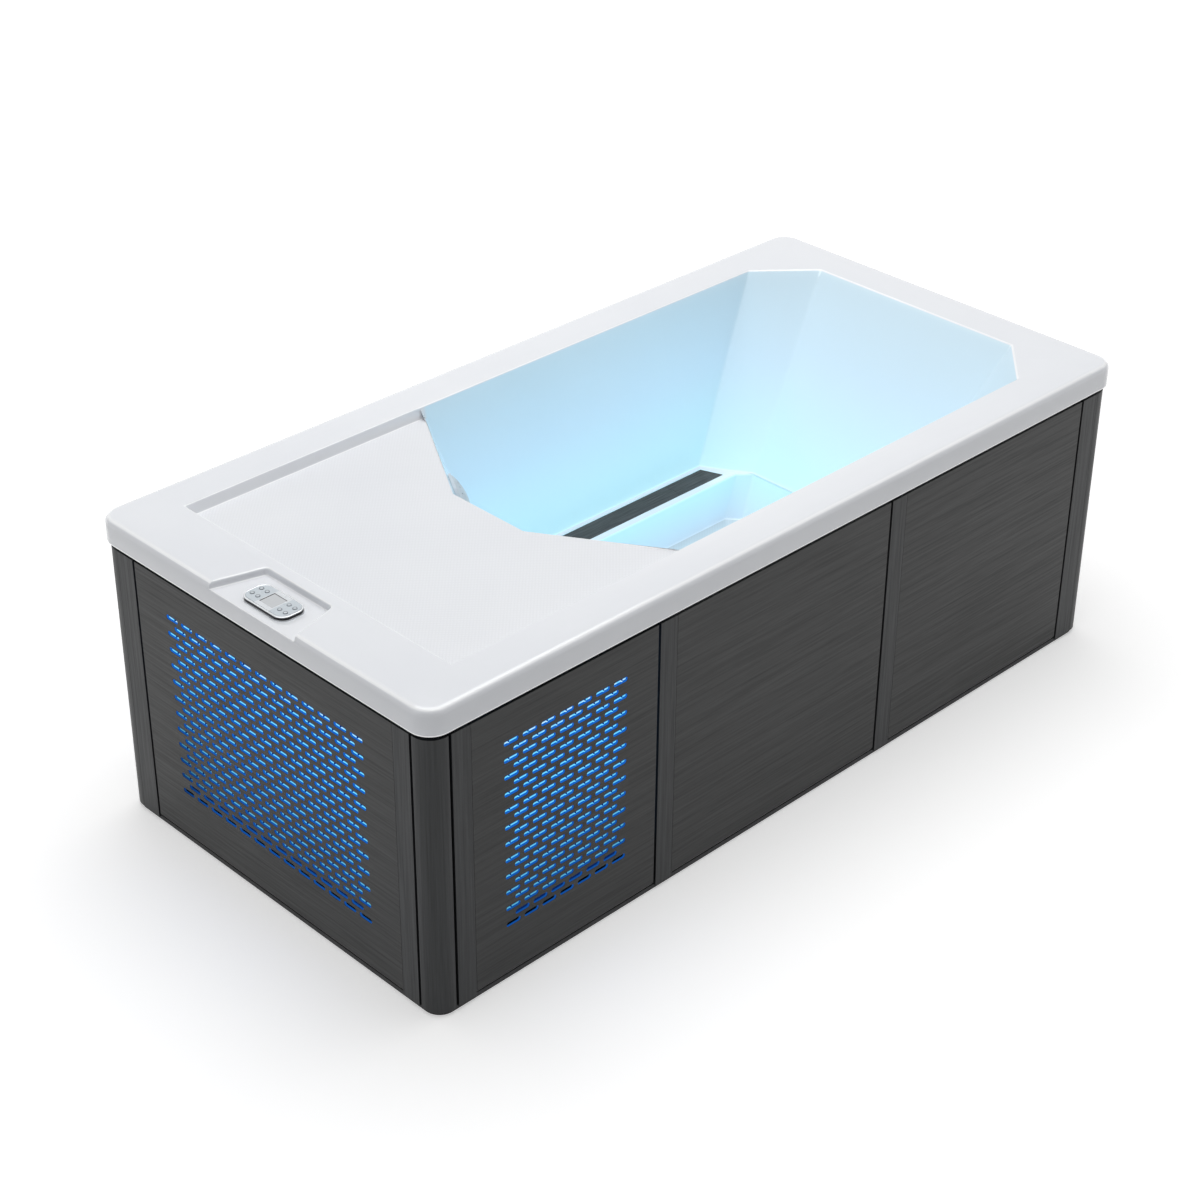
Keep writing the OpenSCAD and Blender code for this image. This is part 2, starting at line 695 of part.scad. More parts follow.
// Corner post: a quarter-round with two short flats
module post_shape(w, r) intersection() {
    translate([0, 0]) square([w, w]);
    union() {
        translate([r, 0]) square([w, w]);
        translate([0, r]) square([w, w]);
        translate([r, r]) circle(r);
    }
}
module corner_post(sx, sy) color("dimgray") scale([sx, sy, 1]) translate([face_x, face_y, base_h])
    rotate([0, 0, 180]) linear_extrude(panel_h) difference() {
        post_shape(post_w, post_r);
        translate([panel_t, panel_t]) post_shape(post_w, post_r - panel_t);
    }
module post_front_near() corner_post(-1, -1);
module post_front_far() corner_post(1, -1);
module post_back_near() corner_post(-1, 1);
module post_back_far() corner_post(1, 1);

module side_strips() for (span = [strip_1, strip_2, strip_3, strip_4]) wall_strip(span);
module end_strips() for (span = [end_strip_left, end_strip_right]) wall_strip(span);
module front_strips() color("gray") on_front() side_strips();
module back_strips() color("gray") on_back() side_strips();
module near_end_strips() color("gray") on_near_end() end_strips();
module far_end_strips() color("gray") on_far_end() end_strips();

module front_grille_panel() color("dimgray") on_front() grille_panel(panel_1, side_field_x, side_slots);
module front_middle_panel() color("dimgray") on_front() plain_panel(panel_2);
module front_far_panel() color("dimgray") on_front() plain_panel(panel_3);
module back_grille_panel() color("dimgray") difference() {
    on_back() grille_panel(panel_1, side_field_x, side_slots);
    translate([drain_run_x, face_y - panel_t - overrun, drain_z]) rotate([-90, 0, 0])
        cylinder(r = drain_hole_r, h = panel_t + 2 * overrun);
    translate([gland_x, face_y - panel_t - overrun, gland_z]) rotate([-90, 0, 0])
        cylinder(r = gland_body_r + seat_gap, h = panel_t + 2 * overrun);
}
module back_middle_panel() color("dimgray") on_back() plain_panel(panel_2);
module back_far_panel() color("dimgray") on_back() plain_panel(panel_3);
module end_grille_panel() color("dimgray") on_near_end() grille_panel(end_panel, end_field_u, end_slots);
module far_end_panel() color("dimgray") on_far_end() plain_panel(end_panel);

// Dust screen: a border with a thin finned sheet
module dust_screen(u0, u1, z0, z1) {
    difference() {
        box(u0, u1, screen_d, screen_d + screen_t, z0, z1);
        box(u0 + screen_border, u1 - screen_border, screen_d - overrun, screen_d + screen_t + overrun,
            z0 + screen_border, z1 - screen_border);
    }
    box(u0 + screen_border / 2, u1 - screen_border / 2, screen_d + screen_t - screen_sheet_t - fin_t,
        screen_d + screen_t - fin_t, z0 + screen_border / 2, z1 - screen_border / 2);
    for (u = [u0 + fin_pitch : fin_pitch : u1 - fin_pitch])
        box(u, u + fin_t, screen_d + fin_t, screen_d + screen_t - fin_t, z0 + screen_border / 2, z1 - screen_border / 2);
}
screen_x = [-corner_upright_x + upright_clear, upright_xs[1] - upright_clear];
screen_top_z = deck_z - shell_t - tube_w - upright_clear;
module at_panel_back() translate([0, panel_t, 0]) children();
module dust_screens() color("steelblue") {
    on_near_end() at_panel_back() dust_screen(-end_upright_y + upright_clear, end_upright_y - upright_clear,
        screen_foot_z, screen_top_z);
    on_front() at_panel_back() dust_screen(screen_x[0], screen_x[1], screen_foot_z, screen_top_z);
    on_back() at_panel_back() dust_screen(screen_x[0], screen_x[1], screen_foot_z, screen_top_z);
}
module light_bar(u0, u1) box(u0, u1, light_bar_d, light_bar_d + light_bar_t, light_bar_z, light_bar_z + light_bar_h);
module bay_light_bars() color("deepskyblue") {
    on_near_end() at_panel_back() light_bar(-end_upright_y + upright_clear, end_upright_y - upright_clear);
    on_front() at_panel_back() light_bar(screen_x[0], screen_x[1]);
    on_back() at_panel_back() light_bar(screen_x[0], screen_x[1]);
}

// Control pad
module pad_shape(inset) intersection() {
    union() {
        square([pad_w - 2 * inset, pad_l - 2 * pad_corner_r], center = true);
        square([pad_w - 2 * pad_corner_r, pad_l - 2 * inset], center = true);
        for (sx = [-1, 1]) for (sy = [-1, 1])
            translate([sx * (pad_w / 2 - pad_corner_r), sy * (pad_l / 2 - pad_corner_r)])
                circle(pad_corner_r - inset);
    }
    circle(pad_end_r - inset);
}
face_z = pocket_z + pad_h - pad_face_t;
button_low_z = pocket_z + pad_h - button_sunk - pad_face_t;
module keypad_housing() color("gainsboro") difference() {
    translate([pad_x, pad_y, pocket_z]) linear_extrude(pad_h) pad_shape(0);
    translate([pad_x, pad_y, face_z]) linear_extrude(pad_h) pad_shape(pad_rim);
    for (i = [0 : 7]) translate([button_place(i)[0], button_place(i)[1], button_low_z - button_floor_gap])
        cylinder(d = button_d + 2 * button_hole_gap, h = pad_h);
    translate([cable_hole_x, pad_y, pocket_z - overrun]) cylinder(r = cable_hole_r, h = pad_h / 2);
}
module window_cut(gap, h) translate([pad_x - window_w / 2 - gap, pad_y - window_l / 2 - gap, 0])
    cube([window_w + 2 * gap, window_l + 2 * gap, h]);
module keypad_face() color("lightsteelblue") difference() {
    translate([pad_x, pad_y, face_z]) linear_extrude(pad_face_t) pad_shape(pad_rim + seat_gap);
    for (i = [0 : 7]) translate([button_place(i)[0], button_place(i)[1], face_z - overrun])
        cylinder(d = button_d + 2 * button_hole_gap, h = pad_face_t + 2 * overrun);
    translate([0, 0, face_z - overrun]) window_cut(seat_gap, pad_face_t + 2 * overrun);
}
module lcd_window() color("lightgray") translate([0, 0, face_z]) window_cut(0, window_t);
module pad_button(i) color("silver") translate([button_place(i)[0], button_place(i)[1], button_low_z])
    cylinder(d = button_d, h = button_sunk + pad_face_t + button_proud);
module button_1() pad_button(0);
module button_2() pad_button(1);
module button_3() pad_button(2);
module button_4() pad_button(3);
module button_5() pad_button(4);
module button_6() pad_button(5);
module button_7() pad_button(6);
module button_8() pad_button(7);

module ledge_cover() difference() {
    translate([0, 0, ledge_z - cover_t]) linear_extrude(cover_t) polygon(cover_outline(0));
    translate([low_near_x + cover_seam_share * (low_far_x - low_near_x), cover_inner_y - overrun,
        ledge_z - cover_gap]) cube([cover_gap / 2, cover_w + 2 * overrun, cover_t]);
}
module back_ledge_cover() color("dimgray") ledge_cover();
module front_ledge_cover() color("dimgray") mirror([0, 1, 0]) ledge_cover();

// Round suction cover with a ring of slots, and its tail through the wall
module suction_fitting() color("gray") on_chamfer(1, fitting_drop) difference() {
    union() {
        translate([0, 0, wall_gap]) cylinder(r = suction_r, h = suction_flange_t);
        translate([0, 0, wall_gap]) rotate_extrude() intersection() {
            translate([0, suction_dome_h - suction_r * 2]) circle(suction_r * 2);
            square([suction_r - suction_flange_t, suction_dome_h]);
        }
        translate([0, 0, -suction_tail_l]) cylinder(r = tail_r, h = suction_tail_l + suction_flange_t);
    }
    translate([0, 0, -suction_tail_l - overrun]) cylinder(r = tail_r - pipe_t, h = suction_tail_l + suction_flange_t);
    for (a = [0 : suction_slots - 1]) rotate([0, 0, a * 360 / suction_slots])
        translate([suction_r * 2 / 3, 0, 0]) cylinder(r = suction_slot_r, h = suction_dome_h * 2);
}

module jet_body() color("gainsboro") on_chamfer(-1, jet_drop) difference() {
    union() {
        translate([0, 0, wall_gap]) cylinder(r = jet_flange_r, h = jet_flange_t);
        translate([0, 0, -jet_tail_l]) cylinder(r = jet_body_r, h = jet_tail_l + jet_flange_t);
    }
    translate([0, 0, jet_ball_z]) sphere(jet_ball_r + jet_ball_gap);
    translate([0, 0, -jet_tail_l - overrun]) cylinder(r = pipe_r - pipe_t, h = jet_tail_l + jet_ball_z);
}
module jet_nozzle() color("white") on_chamfer(-1, jet_drop) difference() {
    union() {
        translate([0, 0, jet_ball_z]) sphere(jet_ball_r);
        translate([0, 0, jet_ball_z]) cylinder(r = jet_snout_r, h = jet_snout_z - jet_ball_z);
    }
    translate([0, 0, jet_ball_z - jet_ball_r - overrun])
        cylinder(r = jet_bore_r, h = jet_ball_r + jet_snout_z - jet_ball_z + 2 * overrun);
}
module basin_light() color("paleturquoise") on_near_wall() {
    translate([0, 0, seat_gap]) cylinder(r = light_r, h = light_flange_t);
    translate([0, 0, -light_body_l]) cylinder(r = light_body_r, h = light_body_l + light_flange_t);
}

module drain_strainer() color("silver") translate([drain_x, 0, floor_z]) difference() {
    union() {
        cylinder(r = strainer_r, h = strainer_t);
        translate([0, 0, -shell_t - drain_r]) cylinder(r = drain_tail_r, h = shell_t + drain_r + strainer_t);
    }
    translate([0, 0, -shell_t - drain_r - overrun]) cylinder(r = drain_r - pipe_t, h = shell_t + drain_r + overrun);
    for (a = [0 : 5]) rotate([0, 0, a * 60]) translate([drain_r / 2, 0, -overrun]) cylinder(r = pipe_t, h = shell_t);
}

// Water circuit
filter_port_drop = 50;
filter_port_z = filter_z + filter_h - filter_port_drop;
filter_out_z = pump_z;
exchanger_in_z = exchanger_z + exchanger_h * 3 / 4;
exchanger_out_z = exchanger_z + exchanger_h * 7 / 8;
pump_out_y = pump_y + pump_head_l / 2;
suction_down_x = drain_run_x;
module water_pipes() color("white") {
    // Between the filter and the suction fitting, through the bulkhead
    pipe_run([[filter_x + filter_r + port_l, filter_y, filter_port_z], [suction_down_x, filter_y, filter_port_z],
        [suction_down_x, suction_bend[1], filter_port_z], [suction_down_x, suction_bend[1], suction_bend[2]],
        suction_bend, suction_end], pipe_r, pipe_t);
    // From the filter to the pump
    pipe_run([[filter_x, filter_y - filter_r - port_l, filter_out_z], [pump_x, pump_y + pump_head_l, pump_z]],
        pipe_r, pipe_t);
    // From the pump to the heat exchanger
    pipe_run([[pump_x, pump_out_y, pump_z + pump_head_r + port_l], [pump_x, pump_out_y, exchanger_in_z],
        [exchanger_x, exchanger_y + exchanger_r + port_l, exchanger_in_z]], pipe_r, pipe_t);
    // From the heat exchanger through the bulkhead to the return jet
    pipe_run([[exchanger_x + exchanger_r + port_l, exchanger_y, exchanger_out_z],
        [suction_down_x, exchanger_y, exchanger_out_z], [suction_down_x, jet_bend[1], exchanger_out_z],
        [suction_down_x, jet_bend[1], jet_bend[2]], jet_bend, jet_end], pipe_r, pipe_t);
    // From the floor drain to the drain valve
    pipe_run([[drain_x, 0, drain_start_z], [drain_x, 0, drain_z], [drain_run_x, 0, drain_z],
        [drain_run_x, valve_y - valve_l / 2, drain_z]], drain_r, pipe_t);
    // From the drain valve to the outlet
    pipe_run([[drain_run_x, valve_y + valve_l / 2, drain_z], [drain_run_x, outlet_back_y, drain_z]], drain_r, pipe_t);
}

// Drain valve and its outlet through the back panel
outlet_back_y = face_y - outlet_l;
module drain_outlet() color("silver") translate([drain_run_x, 0, drain_z]) rotate([-90, 0, 0]) difference() {
    union() {
        translate([0, 0, outlet_back_y]) cylinder(r = drain_r, h = face_y + outlet_flange_t - outlet_back_y);
        translate([0, 0, face_y + seat_gap]) cylinder(r = outlet_flange_r, h = outlet_flange_t - seat_gap);
    }
    translate([0, 0, outlet_back_y - overrun]) cylinder(r = outlet_r, h = face_y);
}
module drain_valve_body() color("goldenrod") translate([drain_run_x, valve_y, drain_z]) difference() {
    union() {
        translate([0, -valve_l / 2, 0]) rotate([-90, 0, 0]) cylinder(r = drain_r + pipe_t, h = valve_l);
        sphere(valve_r);
        cylinder(r = stem_r + pipe_t * 2, h = valve_r + pipe_t * 2);
    }
    sphere(valve_ball_r + valve_gap);
    translate([0, -valve_l / 2 - overrun, 0]) rotate([-90, 0, 0]) cylinder(r = valve_bore_r, h = valve_l + 2 * overrun);
    cylinder(r = stem_r + run_gap, h = 2 * valve_r);
}
handle_z = valve_r + pipe_t * 2 + valve_gap;
module drain_handle() color("firebrick") translate([drain_run_x, valve_y, drain_z]) {
    difference() {
        sphere(valve_ball_r);
        translate([0, -valve_r, 0]) rotate([-90, 0, 0]) cylinder(r = valve_bore_r, h = 2 * valve_r);
    }
    difference() {
        cylinder(r = stem_r, h = handle_z + handle_t);
        rotate([90, 0, 0]) cylinder(r = valve_bore_r, h = 2 * valve_r, center = true);
    }
    translate([-handle_w / 2, -handle_l, handle_z]) cube([handle_w, handle_l + handle_w / 2, handle_t]);
}

// Filter
filter_top_z = filter_z + filter_h;
module filter_housing() color("lightgray") translate([filter_x, filter_y, filter_z]) difference() {
    union() {
        translate([0, 0, tray_floor_t - filter_z]) cylinder(r = filter_r - filter_wall * 2, h = filter_z);
        cylinder(r = filter_r, h = filter_h);
        translate([0, 0, filter_h - filter_collar_h]) cylinder(r = filter_collar_r, h = filter_collar_h);
        translate([0, 0, filter_port_z - filter_z]) rotate([0, 90, 0]) cylinder(r = pipe_r + pipe_t, h = filter_r + port_l);
        translate([0, 0, filter_out_z - filter_z]) rotate([90, 0, 0]) cylinder(r = pipe_r + pipe_t, h = filter_r + port_l);
    }
    translate([0, 0, filter_wall]) cylinder(r = filter_r - filter_wall, h = filter_h);
    translate([0, 0, filter_port_z - filter_z]) rotate([0, 90, 0]) cylinder(r = pipe_r - pipe_t, h = filter_r * 2);
    translate([0, 0, filter_out_z - filter_z]) rotate([90, 0, 0]) cylinder(r = pipe_r - pipe_t, h = filter_r * 2);
}
module filter_lid() color("dimgray") translate([filter_x, filter_y, filter_top_z + seat_gap]) difference() {
    union() {
        rotate_extrude() intersection() {
            translate([0, filter_lid_h - filter_r * 2]) circle(filter_r * 2);
            square([filter_collar_r - filter_wall, filter_lid_h]);
        }
        cylinder(r = filter_collar_r, h = filter_collar_h / 2);
        for (a = [0 : filter_lid_grips - 1]) rotate([0, 0, a * 360 / filter_lid_grips])
            translate([filter_collar_r, 0, 0]) cylinder(r = filter_grip_r, h = filter_collar_h / 2);
    }
    translate([0, 0, -overrun]) cylinder(r = filter_r - filter_wall * 2, h = filter_lid_h / 2);
}
module filter_cartridge() color("aliceblue")
    translate([filter_x, filter_y, filter_z + filter_wall]) linear_extrude(filter_h - filter_wall - cartridge_margin)
        difference() {
            polygon([for (i = [0 : 2 * cartridge_pleats - 1])
                (cartridge_r - (i % 2) * cartridge_pleat_depth)
                    * [cos(i * 180 / cartridge_pleats), sin(i * 180 / cartridge_pleats)]]);
            circle(cartridge_core_r);
        }

// Circulation pump: axis along y, head towards the filter
module circulation_pump() color("midnightblue") translate([pump_x, pump_y, pump_z]) difference() {
    union() {
        rotate([-90, 0, 0]) cylinder(r = pump_head_r, h = pump_head_l);
        translate([0, -pump_motor_l, 0]) rotate([-90, 0, 0]) cylinder(r = pump_motor_r, h = pump_motor_l);
        box(-pump_foot_w / 2, pump_foot_w / 2, -pump_motor_l, -pump_motor_l / 4, tray_floor_t - pump_z, 0);
        translate([0, pump_head_l / 2, 0]) cylinder(r = pipe_r + pipe_t, h = pump_head_r + port_l);
    }
    translate([0, pump_wall, 0]) rotate([-90, 0, 0]) cylinder(r = pump_head_r - pump_wall, h = pump_head_l - 2 * pump_wall);
    translate([0, pump_head_l / 2, 0]) rotate([-90, 0, 0]) cylinder(r = pipe_r - pipe_t, h = pump_head_l);
    translate([0, pump_head_l / 2, 0]) cylinder(r = pipe_r - pipe_t - run_gap, h = pump_head_r * 2);
    translate([0, -pump_motor_l / 2, 0]) rotate([-90, 0, 0])
        cylinder(r = pump_shaft_r + run_gap, h = pump_motor_l / 2 + pump_head_l / 2);
}
impeller_gap = 4;
impeller_y = pump_y + pump_wall + impeller_gap;
module pump_impeller() color("goldenrod") translate([pump_x, impeller_y, pump_z]) rotate([-90, 0, 0]) {
    cylinder(r = impeller_r, h = impeller_l / 4);
    for (a = [0 : impeller_vanes - 1]) rotate([0, 0, a * 360 / impeller_vanes])
        translate([pump_shaft_r, 0, impeller_l / 8])
                cube([impeller_r - pump_shaft_r - pipe_t, pipe_t, impeller_l * 3 / 4]);
    cylinder(r = pump_shaft_r * 2, h = impeller_l);
    translate([0, 0, -pump_motor_l / 3]) cylinder(r = pump_shaft_r, h = pump_motor_l / 3 + impeller_l / 2);
}

module heat_exchanger() color("lightgray") translate([exchanger_x, exchanger_y, 0]) difference() {
    union() {
        translate([0, 0, tray_floor_t]) cylinder(r = exchanger_r * 2 / 3, h = exchanger_z);
        translate([0, 0, exchanger_z]) cylinder(r = exchanger_r, h = exchanger_h);
        for (z = [exchanger_z, exchanger_z + exchanger_h - exchanger_cap_t])
            translate([0, 0, z]) cylinder(r = exchanger_r + exchanger_cap_step, h = exchanger_cap_t);
        translate([0, 0, exchanger_in_z]) rotate([-90, 0, 0]) cylinder(r = pipe_r + pipe_t, h = exchanger_r + port_l);
        translate([0, 0, exchanger_out_z]) rotate([0, 90, 0]) cylinder(r = pipe_r + pipe_t, h = exchanger_r + port_l);
    }
    translate([0, 0, exchanger_in_z]) rotate([-90, 0, 0]) cylinder(r = pipe_r - pipe_t, h = exchanger_r * 2);
    translate([0, 0, exchanger_out_z]) rotate([0, 90, 0]) cylinder(r = pipe_r - pipe_t, h = exchanger_r * 2);
}

// Compressor: a welded can with a rounded crown and foot, on a plate
compressor_z = tray_floor_t + compressor_plate_t;
module compressor() color("black") translate([compressor_x, compressor_y, 0]) {
    translate([-compressor_plate / 2, -compressor_plate / 2, tray_floor_t])
        cube([compressor_plate, compressor_plate, compressor_plate_t]);
    translate([0, 0, compressor_z]) rotate_extrude() {
        intersection() {
            union() {
                square([compressor_r - compressor_round, compressor_h]);
                translate([0, compressor_round]) square([compressor_r, compressor_h - 2 * compressor_round]);
                for (z = [compressor_round, compressor_h - compressor_round])
                    translate([compressor_r - compressor_round, z]) circle(compressor_round);
            }
            square([compressor_r, compressor_h]);
        }
        translate([0, compressor_h / 3]) square([compressor_r + compressor_seam, compressor_seam]);
    }
    translate([0, 0, compressor_z]) tube(compressor_r / 2, compressor_r / 2 - pipe_t, compressor_round);
}

// Condenser: finned block with tube ends and side plates
module condenser_coil() color("silver") translate([coil_x, coil_y - coil_w / 2, coil_z]) {
    for (y = [0, coil_w - coil_fin_t]) translate([0, y, 0]) cube([coil_t, coil_fin_t, coil_h]);
    translate([0, 0, tray_floor_t - coil_z]) cube([coil_t, coil_w, coil_z - tray_floor_t + coil_fin_t]);
    translate([0, 0, coil_h - coil_fin_t]) cube([coil_t, coil_w, coil_fin_t]);
    translate([coil_t / 4, 0, 0]) cube([coil_t / 2, coil_w, coil_h]);
    for (y = [coil_fin_pitch : coil_fin_pitch : coil_w - coil_fin_pitch])
        translate([0, y, 0]) cube([coil_t, fin_t, coil_h]);
}

// Fan: axis along x, behind the condenser
fan_z = coil_z + coil_h / 2;
shroud_x = coil_x + coil_t + seat_gap;
shroud_ring_r = fan_r + fan_gap + shroud_t;
module on_fan_axis(x) translate([x, coil_y, fan_z]) rotate([0, 90, 0]) children();
module fan_shroud() color("dimgray") {
    difference() {
        union() {
            translate([shroud_x, coil_y - coil_w / 2, coil_z]) cube([shroud_t, coil_w, coil_h]);
            on_fan_axis(shroud_x) cylinder(r = shroud_ring_r, h = shroud_l);
        }
        on_fan_axis(shroud_x - overrun) cylinder(r = fan_r + fan_gap, h = shroud_l + 2 * overrun);
    }
    translate([shroud_x, coil_y - coil_w / 2, tray_floor_t]) cube([shroud_t, coil_w, coil_z - tray_floor_t]);
}
hub_x = shroud_x + shroud_t * 2;
module fan_rotor() color("black") on_fan_axis(hub_x) difference() {
    union() {
        cylinder(r = fan_hub_r, h = fan_hub_l);
        for (a = [0 : fan_blades - 1]) rotate([0, 0, a * 360 / fan_blades]) translate([0, 0, fan_hub_l / 2])
            intersection() {
                rotate([0, blade_pitch_angle, 0]) translate([-blade_w / 2, fan_hub_r - overrun, -blade_t / 2])
                    cube([blade_w / 2, fan_r, blade_t]);
                translate([0, 0, -fan_hub_l]) cylinder(r = fan_r, h = 2 * fan_hub_l);
            }
    }
    translate([0, 0, -overrun]) cylinder(r = motor_shaft_r + run_gap, h = fan_hub_l + 2 * overrun);
}
motor_gap = 3;
motor_x = hub_x + fan_hub_l + motor_gap;
module fan_motor() color("gray") {
    on_fan_axis(motor_x) cylinder(r = motor_r, h = motor_l);
    on_fan_axis(hub_x) cylinder(r = motor_shaft_r, h = fan_hub_l + motor_l / 2);
    for (a = [45, 135]) translate([shroud_x + shroud_l + seat_gap, coil_y, fan_z]) rotate([a, 0, 0])
        translate([0, -shroud_ring_r, -spider_w / 2]) cube([spider_t, 2 * shroud_ring_r, spider_w]);
}

// Refrigerant lines
line_r = 5;
line_rise = 40;
line_top_z = compressor_z + compressor_h + line_rise;
module refrigerant_lines() color("peru") {
    run_solid([[compressor_x, compressor_y + compressor_r / 2, compressor_z + compressor_h],
        [compressor_x, compressor_y + compressor_r / 2, line_top_z],
        [coil_x + coil_t / 2, compressor_y + compressor_r / 2, line_top_z],
        [coil_x + coil_t / 2, coil_y - coil_w / 2, line_top_z]], line_r, line_r / 4);
    run_solid([[compressor_x, compressor_y - compressor_r / 2, compressor_z + compressor_h],
        [compressor_x, compressor_y - compressor_r / 2, line_top_z],
        [exchanger_x, compressor_y - compressor_r / 2, line_top_z],
        [exchanger_x, exchanger_y - exchanger_r, line_top_z]], line_r, line_r / 4);
}

module control_box() color("gray") {
    translate([bulkhead_x - box_l, box_y - box_w / 2, box_z]) cube([box_l, box_w, box_h]);
    translate([bulkhead_x - box_l - box_lid_t, box_y - box_w / 2 - seat_gap, box_z - seat_gap])
        cube([box_lid_t, box_w + 2 * seat_gap, box_h + 2 * seat_gap]);
}

module power_gland() color("black") translate([gland_x, 0, gland_z]) rotate([-90, 0, 0]) difference() {
    union() {
        translate([0, 0, face_y - gland_l]) cylinder(r = gland_body_r, h = gland_l + outlet_flange_t);
        translate([0, 0, face_y + seat_gap]) cylinder(r = gland_flange_r, h = outlet_flange_t - seat_gap);
    }
    translate([0, 0, face_y - gland_l - overrun]) cylinder(r = gland_r, h = gland_l + outlet_flange_t + 2 * overrun);
}

tub_shell();
base_tray();
frame();
basin_cradles();
bay_bulkhead();
insulation_boards();
post_front_near();
post_front_far();
post_back_near();
post_back_far();
front_strips();
back_strips();
near_end_strips();
far_end_strips();
front_grille_panel();
front_middle_panel();
front_far_panel();
back_grille_panel();
back_middle_panel();
back_far_panel();
end_grille_panel();
far_end_panel();
dust_screens();
bay_light_bars();
keypad_housing();
keypad_face();
lcd_window();
button_1();
button_2();
button_3();
button_4();
button_5();
button_6();
button_7();
button_8();
back_ledge_cover();
front_ledge_cover();
suction_fitting();
jet_body();
jet_nozzle();
basin_light();
drain_strainer();
water_pipes();
drain_outlet();
drain_valve_body();
drain_handle();
filter_housing();
filter_lid();
filter_cartridge();
circulation_pump();
pump_impeller();
heat_exchanger();
compressor();
condenser_coil();
fan_shroud();
fan_rotor();
fan_motor();
refrigerant_lines();
control_box();
power_gland();
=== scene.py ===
# %% [markdown]
# # Cold plunge tub
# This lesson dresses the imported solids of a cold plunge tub: a white moulded tub on a dark
# cabinet with lit slots. The solids stay where they are. Pieces whose real shape has soft
# edges are modelled again here, and every finish is made from nodes.

# %% Load the solids
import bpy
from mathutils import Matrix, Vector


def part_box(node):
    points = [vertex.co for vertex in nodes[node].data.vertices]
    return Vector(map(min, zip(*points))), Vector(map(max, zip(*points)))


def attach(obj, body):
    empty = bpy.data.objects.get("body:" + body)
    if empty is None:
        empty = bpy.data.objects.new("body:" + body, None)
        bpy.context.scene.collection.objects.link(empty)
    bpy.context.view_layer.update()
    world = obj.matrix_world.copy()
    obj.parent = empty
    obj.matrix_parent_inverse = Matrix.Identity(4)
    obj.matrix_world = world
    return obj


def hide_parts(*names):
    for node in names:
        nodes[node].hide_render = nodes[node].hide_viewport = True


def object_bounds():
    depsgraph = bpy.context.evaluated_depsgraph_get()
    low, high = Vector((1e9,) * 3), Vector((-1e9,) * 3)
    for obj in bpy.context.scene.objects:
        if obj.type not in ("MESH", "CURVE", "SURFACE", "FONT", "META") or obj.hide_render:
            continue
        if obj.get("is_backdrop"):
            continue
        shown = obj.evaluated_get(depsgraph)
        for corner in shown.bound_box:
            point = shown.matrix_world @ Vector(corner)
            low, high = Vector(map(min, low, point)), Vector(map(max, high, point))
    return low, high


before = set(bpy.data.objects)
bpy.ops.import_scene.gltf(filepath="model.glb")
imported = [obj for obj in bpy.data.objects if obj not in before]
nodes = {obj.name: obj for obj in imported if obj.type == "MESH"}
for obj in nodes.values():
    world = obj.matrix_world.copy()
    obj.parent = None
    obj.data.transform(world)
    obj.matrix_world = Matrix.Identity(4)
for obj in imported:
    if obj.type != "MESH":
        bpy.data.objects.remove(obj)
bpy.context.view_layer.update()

# %% Tools of the lesson
import math

import bmesh
import bpy
from mathutils import Matrix, Vector

MM = 0.001
scene = bpy.context.scene


def settle():
    """Back to object mode with nothing selected."""
    if bpy.context.mode != "OBJECT":
        bpy.ops.object.mode_set(mode="OBJECT")
    bpy.ops.object.select_all(action="DESELECT")


def pick(obj):
    """Makes one object the selected and active one."""
    settle()
    obj.select_set(True)
    bpy.context.view_layer.objects.active = obj


print("pieces to dress:", len(nodes))

# %% [markdown]
# ## Camera
# The camera stands where the photographer stood: high at the near left corner, with a long
# lens. Placed by eye it would drift off the lines of the rim, so its place and angles were
# solved from the edges of the rim and of the cabinet.

# %% Place the camera
FRAME_PX = 1200
LENS_PX = 2476.318
SENSOR_MM = 36.0
eye = Vector((-3244.6, -3176.0, 3072.0)) * MM
yaw, pitch, roll = 0.780, -0.551, 0.008
ahead = Vector((math.sin(yaw) * math.cos(pitch), math.cos(yaw) * math.cos(pitch), math.sin(pitch)))
right = Vector((math.cos(yaw), -math.sin(yaw), 0))
up = right.cross(ahead)
right, up = (math.cos(roll) * right + math.sin(roll) * up, math.cos(roll) * up - math.sin(roll) * right)
camera_data = bpy.data.cameras.new("photo_camera")
camera_data.sensor_width = SENSOR_MM
camera_data.lens = LENS_PX / FRAME_PX * SENSOR_MM
camera_data.clip_end = 100
camera = bpy.data.objects.new("photo_camera", camera_data)
scene.collection.objects.link(camera)
camera.matrix_world = Matrix(((right[0], up[0], -ahead[0], eye[0]), (right[1], up[1], -ahead[1], eye[1]),
    (right[2], up[2], -ahead[2], eye[2]), (0, 0, 0, 1)))
scene.camera = camera
print("lens:", round(camera_data.lens, 2), "mm")

# %% [markdown]
# ## The moulded tub
# The real tub is one thermoformed sheet of acrylic: a rim with a down-turned lip, a sunk
# deck, and a basin that leans in to two ledges and a foot well. It could be made as one
# bent sheet. Here the rim starts as a box, the basin is joined on and hollowed out with
# boolean tools, and then every moulded edge gets a small bevel, because the soft bright
# line along those edges is what makes it read as moulded.

